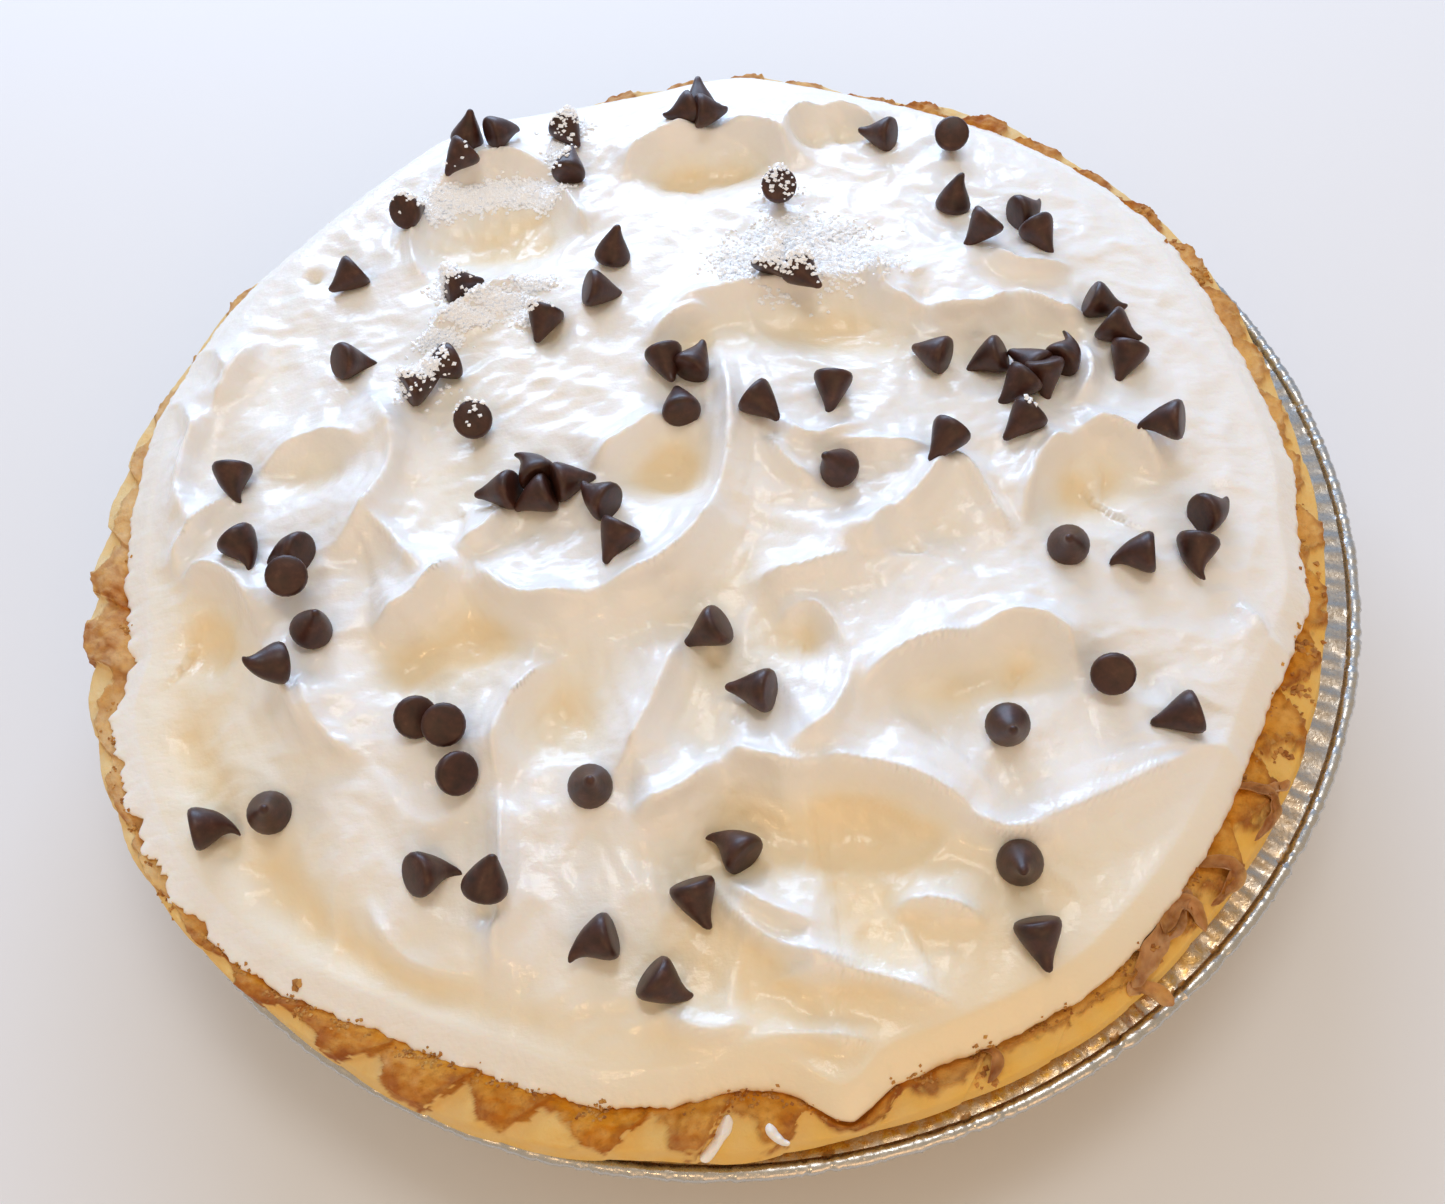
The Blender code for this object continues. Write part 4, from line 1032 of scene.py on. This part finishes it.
def stroke_rise(x, y, stroke):
    """Height that one stroke of the spatula adds: a soft back, a crest and a steep front."""
    path_x, path_y = curve_points(*stroke[:6], STROKE_STEPS)
    height, width = stroke[6:]
    nearest, side, along = np.full(np.shape(x), np.inf), np.zeros(np.shape(x)), 0.0
    for k in range(len(path_x) - 1):
        dx, dy = path_x[k + 1] - path_x[k], path_y[k + 1] - path_y[k]
        share = np.clip(((x - path_x[k]) * dx + (y - path_y[k]) * dy) / (dx**2 + dy**2), 0, 1)
        off_x, off_y = x - path_x[k] - share * dx, y - path_y[k] - share * dy
        gap = np.hypot(off_x, off_y)
        closer = gap < nearest
        nearest = np.where(closer, gap, nearest)
        side = np.where(closer, dx * off_y - dy * off_x, side)
        along = np.where(closer, (k + share) / (len(path_x) - 1), along)
    crest = np.exp(-nearest / (width * np.where(side > 0, BACK_LENGTH, FRONT_LENGTH)))
    off = nearest / (SCOOP_PLACE * width)
    scoop = np.where(side > 0, 0, SCOOP_DEPTH * off**2 * np.exp(2 * (1 - off)))
    taper = smooth_step(-0.05, 0.3, along) * smooth_step(1.05, 0.7, along)
    lip = CREST_LIP * np.exp(-((nearest / CREST_LIP_WIDTH) ** 2))
    sway = 2.0 * np.sin(5 * along + height)
    coarse, fine = DRAG_LINES
    drag = np.sin(coarse * nearest + sway) + DRAG_FINE * np.sin(fine * nearest - 1.6 * sway)
    drag *= DRAG_DEPTH * smooth_step(0, 2, nearest) * np.exp(-nearest / (DRAG_FADE * width))
    return height * taper * (crest - scoop) + taper * (lip + drag)


def bowl_rise(x, y, bowl):
    centre_x, centre_y, half_x, half_y, rise = bowl
    off = np.hypot((x - centre_x) / half_x, (y - centre_y) / half_y)
    return rise * np.exp(-(off**2) * BOWL_FADE)


def groove_rise(x, y):
    angle = np.mod(np.degrees(np.arctan2(y, x)), 360)
    off = (np.hypot(x, y) - GROOVE_RADIUS) / GROOVE_WIDTH
    begun = smooth_step(GROOVE_FROM - GROOVE_FADE, GROOVE_FROM + GROOVE_FADE, angle)
    ended = smooth_step(GROOVE_TO - GROOVE_FADE, GROOVE_TO + GROOVE_FADE, angle)
    inside = begun * (1 - ended)
    return -GROOVE_DEPTH * inside * np.exp(-2 * off**2)


def dome_z(radius):
    return DOME_EDGE_Z + DOME_RISE * (1 - (radius / DOME_RADIUS) ** 2)


def topping_z(x, y):
    """Height of the topping's upper face."""
    x, y = np.asarray(x, float), np.asarray(y, float)
    radius = np.hypot(x, y)
    relief = groove_rise(x, y)
    for stroke in STROKES:
        relief = relief + stroke_rise(x, y, stroke)
    for bowl in BOWLS:
        relief = relief + bowl_rise(x, y, bowl)
    angle = np.degrees(np.arctan2(y, x))
    inward = around(TOPPING_EDGE, angle) - radius
    lift = around(EDGE_LIFT, angle) * smooth_step(*HEAP_REACH, inward)
    return dome_z(radius) + lift + relief * smooth_step(*RELIEF_REACH, inward)


def disc_grid(count):
    """A square grid bent into a unit disc: radius, angle, faces, and the rim's points in order."""
    line = np.linspace(-1, 1, count + 1)
    across, up = np.meshgrid(line, line, indexing="ij")
    wide = np.abs(across) > np.abs(up)
    big = np.where(wide, across, up)
    small = np.where(wide, up, across)
    turn = np.degrees(math.pi / 4 * small / np.where(big == 0, 1, big))
    angle = np.where(wide, turn, 90 - turn) + np.where(big < 0, 180, 0)
    row = count + 1
    faces = []
    for i in range(count):
        for j in range(count):
            faces.append((i * row + j, (i + 1) * row + j, (i + 1) * row + j + 1, i * row + j + 1))
    radius, angle = np.abs(big).ravel(), angle.ravel()
    rim = np.flatnonzero(radius == 1)
    rim = rim[np.argsort(np.mod(angle[rim], 360))].tolist()
    return radius, angle, faces, rim


def whipped_z(x, y):
    """Height of the topping with the small waves and creases that whipping leaves."""
    flat = np.stack([x, y, np.zeros_like(x)], axis=-1)
    bent = flat.copy()
    for axis, seed in enumerate(WANDER_SEEDS):
        bent[:, axis] += WANDER * wobble(flat, WANDER_SIZE, seed)
    waves = ridges(bent, CREASES) + ridges(bent * WRINKLE_STRETCH, WRINKLES)
    waves += layered(flat, RIPPLES)
    inward = around(TOPPING_EDGE, np.degrees(np.arctan2(y, x))) - np.hypot(x, y)
    return topping_z(x, y) + (waves - CREASE_SINK) * smooth_step(*CREASE_REACH, inward)


def frosted(x, y):
    """How much a place is whitened by frost, from 0 to 1."""
    white = np.zeros_like(x)
    for centre_x, centre_y, half_x, half_y, count in FROST:
        off = ((x - centre_x) / half_x) ** 2 + ((y - centre_y) / half_y) ** 2
        most = min(1.0, count / FROST_COVERS)
        white = np.maximum(white, most * np.exp(-FROST_FADE * off**2))
    return white


def blend_section(section, share, angle):
    """A ring part of the way along a smooth line through the section's four corners."""
    t = share * (len(section) - 1)
    k = min(int(t), len(section) - 2)
    t -= k
    corners = [section[max(k - 1, 0)], section[k], section[k + 1]]
    corners.append(section[min(k + 2, len(section) - 1)])
    values = []
    for axis in (0, 1):
        before, first, second, after = (corner[axis] for corner in corners)
        start, end = (second - before) / 2, (after - first) / 2
        if k == 0 and axis == 1:
            start = start * 0.2
        values.append(hermite(t, first, start, second, end))
    return polar(values[0], angle, values[1])


def edge_rings(angle, top_z):
    """Rings of the topping's torn edge, from its upper face round and down to its foot."""
    ragged = layered(polar(EDGE_RADIUS, angle, 0.0), EDGE_TEARS) * around(TORN_EDGE, angle)
    edge, foot_z = around(TOPPING_EDGE, angle) + ragged, ledge_z(angle) + TOPPING_GAP
    tall, thin = top_z - foot_z, around(EDGE_THIN, angle)
    shoulder, widest = (
        top_z - (share + more * thin) * tall for share, more in (SHOULDER_DROP, WIDEST_DROP)
    )
    section = [
        (edge - ragged - ROUND_OVER, top_z),
        (edge - 0.7 * ragged - EDGE_SHOULDER, shoulder),
        (edge, widest),
        (edge - FOOT_TUCK, foot_z - FOOT_DROP),
    ]
    shares = np.linspace(0, 1, EDGE_RINGS + 1)[1:]
    rings = [blend_section(section, share, angle) for share in shares]
    return rings + [polar(edge - FOOT_INSET, angle, foot_z - FOOT_DROP)]


def upper_tone(top, angle, inward):
    """Tone of the upper face: painted warm shade in its hollows and at its thin edge, white under
    frost.
    """
    warm = around(EDGE_PAINTED_SHADE, angle) * smooth_step(*PAINTED_EDGE_SHADE_REACH, inward)
    rise = top[:, 2] - dome_z(np.hypot(top[:, 0], top[:, 1]))
    tone = np.clip(BROAD_TONE + PAINTED_EDGE_SHADE_TONE * warm - rise / PAINTED_SHADE_DEPTH, 0, 1)
    return tone * (1 - frosted(top[:, 0], top[:, 1]))


def make_topping():
    radius, angle, faces, rim = disc_grid(GRID)
    reach = around(TOPPING_EDGE, angle) - ROUND_OVER
    top = polar(radius * reach, angle, 0.0)
    top[:, 2] = whipped_z(top[:, 0], top[:, 1])
    count, start = len(rim), len(top)
    rim_angle = np.arange(count) * 360.0 / count
    rings = edge_rings(rim_angle, top[rim, 2])
    points = np.concatenate([top] + rings + [[(0, 0, CRUST_LEDGE_Z + TOPPING_GAP)]])
    for k in range(count):
        after = (k + 1) % count
        faces.append((rim[k], start + k, start + after, rim[after]))
    faces += [face[::-1] for face in ring_faces(count, len(rings), start)]
    pole = len(points) - 1
    last = pole - count
    faces += [(pole, last + (k + 1) % count, last + k) for k in range(count)]
    # Painted warm shade on the edge's skirt, most at the front.
    skirt = np.tile(EDGE_TONE + PAINTED_EDGE_SHADE_TONE * around(EDGE_PAINTED_SHADE, rim_angle), len(rings))
    tone = np.concatenate([upper_tone(top, angle, reach * (1 - radius)), skirt, [EDGE_TONE]])
    cream = mesh_object("topping", points, faces, topping_material(), {"hollow": tone})
    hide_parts("cream")
    return cream


# Chips


def chip_shape(draw, number):
    """One chip standing on its base at the origin, with its tip bent to one side."""
    turns = np.arange(CHIP_SIDES) * 360.0 / CHIP_SIDES
    heights = [h for _, h in CHIP_PROFILE]
    rings = [polar(radius, turns, height) for radius, height in CHIP_PROFILE]
    points, faces = closed_rings(rings, (0, 0, CHIP_HOLLOW), (0, 0, CHIP_HEIGHT))
    way, curl = draw.uniform(0, 360), draw.uniform(0.2, 1.6)
    curl, way = CURLS.get(number, (curl, way))
    bend = np.clip((points[:, 2] - CURL_FROM) / (CHIP_HEIGHT - CURL_FROM), 0, 1) ** 2 * curl
    points[:, 0] += bend * math.cos(math.radians(way))
    points[:, 1] += bend * math.sin(math.radians(way))
    points[:, 2] -= CURL_DROP * bend
    return points, faces


def surface_tree(*things):
    """A search tree over the faces of these pieces, in millimetres."""
    points, faces = [], []
    for thing in things:
        start = len(points)
        points += [vertex.co / MM for vertex in thing.data.vertices]
        faces += [[start + k for k in face.vertices] for face in thing.data.polygons]
    return BVHTree.FromPolygons(points, faces)


def ground_z(tree, x, y):
    """Height of the upper face below a place, or 0 beside the piece."""
    hit = tree.ray_cast(Vector((x, y, 100.0)), Vector((0, 0, -1)))[0]
    return hit.z if hit else 0.0


def placed_chip(points, tree, x, y, heading, tilt):
    """The chip tipped over, turned, and set down a little into the topping."""
    lean, turn = math.radians(tilt), math.radians(heading)
    middle = points - [0, 0, CHIP_HEIGHT * CHIP_MIDDLE]
    tipped_x = middle[:, 0] * math.cos(lean) + middle[:, 2] * math.sin(lean)
    tipped_z = -middle[:, 0] * math.sin(lean) + middle[:, 2] * math.cos(lean)
    along = tipped_x * math.cos(turn) - middle[:, 1] * math.sin(turn)
    beside = tipped_x * math.sin(turn) + middle[:, 1] * math.cos(turn)
    x, y = x + along, y + beside
    touching = max(ground_z(tree, *place) - z for *place, z in zip(x, y, tipped_z))
    return np.stack([x, y, tipped_z + touching - CHIP_SUNK], axis=-1)


def make_chips(cream):
    draw = np.random.default_rng(CHIP_SEED)
    tree = surface_tree(cream)
    placed = []
    for number, place in enumerate(CHIPS):
        points, faces = chip_shape(draw, number)
        placed.append((placed_chip(points, tree, *place), faces))
    chips = mesh_object("chips", *joined(placed), chocolate_material(), sharp=55)
    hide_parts("cream")
    return chips


# Loose bits


def lumps(draw, centres, sizes, flatness):
    """Points and faces of small irregular lumps, one at each centre."""
    corner = np.array([(1, 0, 0), (0, 1, 0), (-1, 0, 0), (0, -1, 0), (0, 0, 1), (0, 0, -1)], float)
    turn = draw.normal(size=(len(centres), 3, 3))
    turn = np.linalg.qr(turn)[0]
    turn *= np.linalg.det(turn)[:, None, None]
    shape = corner * draw.uniform(0.55, 1.0, (len(centres), 6, 1))
    shape = np.einsum("nij,nkj->nki", turn, shape) * np.asarray(sizes)[:, None, None]
    shape[:, :, 2] *= flatness
    points = (np.asarray(centres)[:, None, :] + shape).reshape(-1, 3)
    sides = [(0, 1, 4), (1, 2, 4), (2, 3, 4), (3, 0, 4), (1, 0, 5), (2, 1, 5), (3, 2, 5), (0, 3, 5)]
    faces = [tuple(6 * n + k for k in side) for n in range(len(centres)) for side in sides]
    return points, faces


def settled(tree, places, lift):
    """The places that lie over a piece, each put at this height over its upper face."""
    heights = np.array([ground_z(tree, x, y) for x, y in places])
    found = heights > 0
    return np.column_stack([places, heights + lift])[found], found


def make_frost(*things):
    """Ice crystals that have grown in patches on the topping and on some chips."""
    draw = np.random.default_rng(FROST_SEED)
    tree = surface_tree(*things)
    places, mound = [], []
    for x, y, half_x, half_y, count in FROST:
        spread = draw.normal(size=(count, 2)) * 0.5
        places.append(spread * (half_x, half_y) + (x, y))
        mound.append(np.exp(-(spread**2).sum(axis=1)) * draw.uniform(0, FROST_DEPTH, count))
    places, mound = np.concatenate(places), np.concatenate(mound)
    centres, found = settled(tree, places, mound)
    sizes = draw.uniform(*FROST_SIZE, found.sum())
    points, faces = lumps(draw, centres, sizes, FROST_FLATNESS)
    frost = mesh_object("frost_crystals", points, faces, frost_material(), sharp=20)
    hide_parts("cream")


def make_crumbs(surface, *things):
    """Baked crumbs along the topping's edge and in heaps on the rim."""
    draw = np.random.default_rng(CRUMB_SEED)
    tree = surface_tree(*things)
    places, sizes = [], []
    for start, end, count in CRUMB_ARCS:
        clumps = draw.uniform(start, end, 1 + count // CRUMBS_PER_CLUMP)
        offsets = draw.normal(CLUMP_OFFSET, CLUMP_SPREAD, len(clumps))
        chosen = draw.integers(0, len(clumps), count)
        angle = clumps[chosen] + draw.normal(0, CRUMB_SPREAD, count)
        radius = around(TOPPING_EDGE, angle) + offsets[chosen] + draw.normal(0, CLUMP_SPREAD, count)
        places.append(polar(radius, angle, 0.0)[:, :2])
        sizes.append(draw.uniform(*EDGE_CRUMB, count))
    for x, y, half, count in CRUMB_HEAPS:
        places.append(draw.normal(size=(count, 2)) * 0.5 * half + (x, y))
        sizes.append(draw.uniform(*RIM_CRUMB, count))
    sizes = np.concatenate(sizes)
    centres, found = settled(tree, np.concatenate(places), 0.0)
    points, faces = lumps(draw, centres, sizes[found], CRUMB_FLATNESS)
    shade = np.repeat(draw.uniform(0, 1, found.sum()), 6)
    tint = blend(colour(CRUMB_LIGHT), colour(CRUMB_DARK), shade)
    values = {"bake": 0.2 * shade, "tint": tint}
    crumbs = mesh_object("crumbs", points, faces, surface, values, sharp=60)
    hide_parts("crust")


def ribbon(tree, path, width, lift, thick):
    """A thin flake along a curved path; its long edges stand up by lift, or down below 0."""
    steps, across = RIBBON_STEPS, RIBBON_ACROSS
    x, y = curve_points(*path, steps)
    ahead = np.stack([np.gradient(x), np.gradient(y)], axis=-1)
    ahead /= np.linalg.norm(ahead, axis=1)[:, None]
    share = np.linspace(0, 1, steps)
    half = 0.5 * width * np.sqrt(np.clip(1 - (2 * share - 1) ** 4, 0.02, 1))
    middle = np.stack([x, y, np.zeros(steps)], axis=-1)
    torn = [1 + RIBBON_TORN * wobble(middle, RIBBON_TORN_SIZE, seed) for seed in (33, 34)]
    ground = np.array([ground_z(tree, *place) for place in zip(x, y)])
    ground = np.maximum(ground, ground.max() - RIBBON_DROP)
    ground = np.convolve(np.pad(ground, 2, mode="edge"), np.ones(5) / 5, mode="valid")
    sheet = []
    for u in np.linspace(-1, 1, across):
        z = ground + thick + lift * u**2 * half / half.max()
        off = u * half * torn[int(u > 0)]
        sheet.append(np.stack([x - ahead[:, 1] * off, y + ahead[:, 0] * off, z], axis=-1))
    upper = np.concatenate(sheet)
    upper[:, 2] += layered(upper, RIBBON_CURLS)
    lower = upper - [0, 0, thick]
    faces, size = [], steps * across
    for i in range(across - 1):
        for j in range(steps - 1):
            a, b = i * steps + j, (i + 1) * steps + j
            faces += [(a, a + 1, b + 1, b), (size + b, size + b + 1, size + a + 1, size + a)]
    loop = list(range(steps)) + [i * steps + steps - 1 for i in range(1, across)]
    loop += [(across - 1) * steps + j for j in range(steps - 2, -1, -1)]
    loop += [i * steps for i in range(across - 2, 0, -1)]
    for k, after in zip(loop, loop[1:] + loop[:1]):
        faces.append((after, k, size + k, size + after))
    return np.concatenate([upper, lower]), faces


def make_ribbons(name, surface, node, tree, table, thick, values_at):
    points, faces = joined(ribbon(tree, path, width, lift, thick) for *path, width, lift in table)
    piece = mesh_object(name, points, faces, surface, values_at(points), sharp=60)
    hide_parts(node)


def flake_looks(points):
    shade = np.clip(0.5 + layered(points, FLAKE_SPOTS), 0, 1)
    return {"bake": shade, "tint": blend(colour(FLAKE_LIGHT), colour(FLAKE_DARK), shade)}


def sliver_looks(points):
    # Slivers get no painted warm shade.
    return {"hollow": np.zeros(len(points))}


# Stage


def make_floor():
    made, _, _ = new_material("floor", Base_Color=colour(FLOOR_COLOUR), Roughness=0.9)
    mesh = bpy.data.meshes.new("floor")
    corners = [(x * FLOOR_REACH, y * FLOOR_REACH, 0) for x, y in FLOOR_CORNERS]
    mesh.from_pydata(corners, [], [(0, 1, 2, 3)])
    mesh.materials.append(made)
    floor = bpy.data.objects.new("floor", mesh)
    bpy.context.scene.collection.objects.link(floor)
    floor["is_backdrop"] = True


def make_camera():
    right, up = Vector(CAMERA_RIGHT).normalized(), Vector(CAMERA_UP).normalized()
    back = right.cross(up).normalized()
    up = back.cross(right)
    lens = bpy.data.cameras.new("camera")
    lens.lens = CAMERA_LENS
    lens.sensor_width = SENSOR_WIDTH
    lens.sensor_fit = "HORIZONTAL"
    lens.clip_start = 0.01
    camera = bpy.data.objects.new("camera", lens)
    turn = Matrix((right, up, back)).transposed().to_4x4()
    camera.matrix_world = Matrix.Translation(CAMERA_PLACE) @ turn
    bpy.context.scene.collection.objects.link(camera)
    bpy.context.scene.camera = camera


def add_light(name, place, size, power, tint):
    lamp = bpy.data.lights.new(name, "AREA")
    lamp.shape = "RECTANGLE"
    lamp.size, lamp.size_y = size
    lamp.energy = power
    lamp.color = colour(tint)[:3]
    made = bpy.data.objects.new(name, lamp)
    made.location = place
    made.rotation_euler = (Vector(PIE_MIDDLE) - Vector(place)).to_track_quat("-Z", "Y").to_euler()
    bpy.context.scene.collection.objects.link(made)


def make_world():
    """Soft light from all round, warm from the front and above and cool from the back."""
    world = bpy.data.worlds.new("studio")
    world.use_nodes = True
    tree = world.node_tree
    place = add_node(tree, "TexCoord", {}, "Generated")
    ahead = add_node(tree, "SeparateXYZ", {"Vector": place}, "Y")
    backward = add_range(tree, ahead, *COOL_BACK, 0.0, 1.0)
    shade = add_ramp(tree, backward, ((0.0, ROOM_WARM), (1.0, ROOM_COOL)))
    background = tree.nodes["Background"]
    tree.links.new(shade, background.inputs["Color"])
    background.inputs["Strength"].default_value = ROOM_LIGHT
    bpy.context.scene.world = world


make_camera()
make_pan()
crust = make_crust()
topping = make_topping()
chips = make_chips(topping)
make_frost(topping, chips)
make_crumbs(crust.data.materials[0], crust, topping)
on_rim = surface_tree(crust)
make_ribbons(
    "flakes", crust.data.materials[0], "crust", on_rim, FLAKES, FLAKE_THICK,
    flake_looks,
)
make_ribbons(
    "slivers", topping.data.materials[0], "cream", on_rim, SLIVERS,
    SLIVER_THICK, sliver_looks,
)
make_floor()
make_world()
for light in LIGHTS:
    add_light(*light)
bpy.context.scene.view_settings.view_transform = "Standard"

boxes = {"cad": CAD_BOX, "visual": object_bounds()}
{key: np.array(box).tolist() for key, box in boxes.items()}
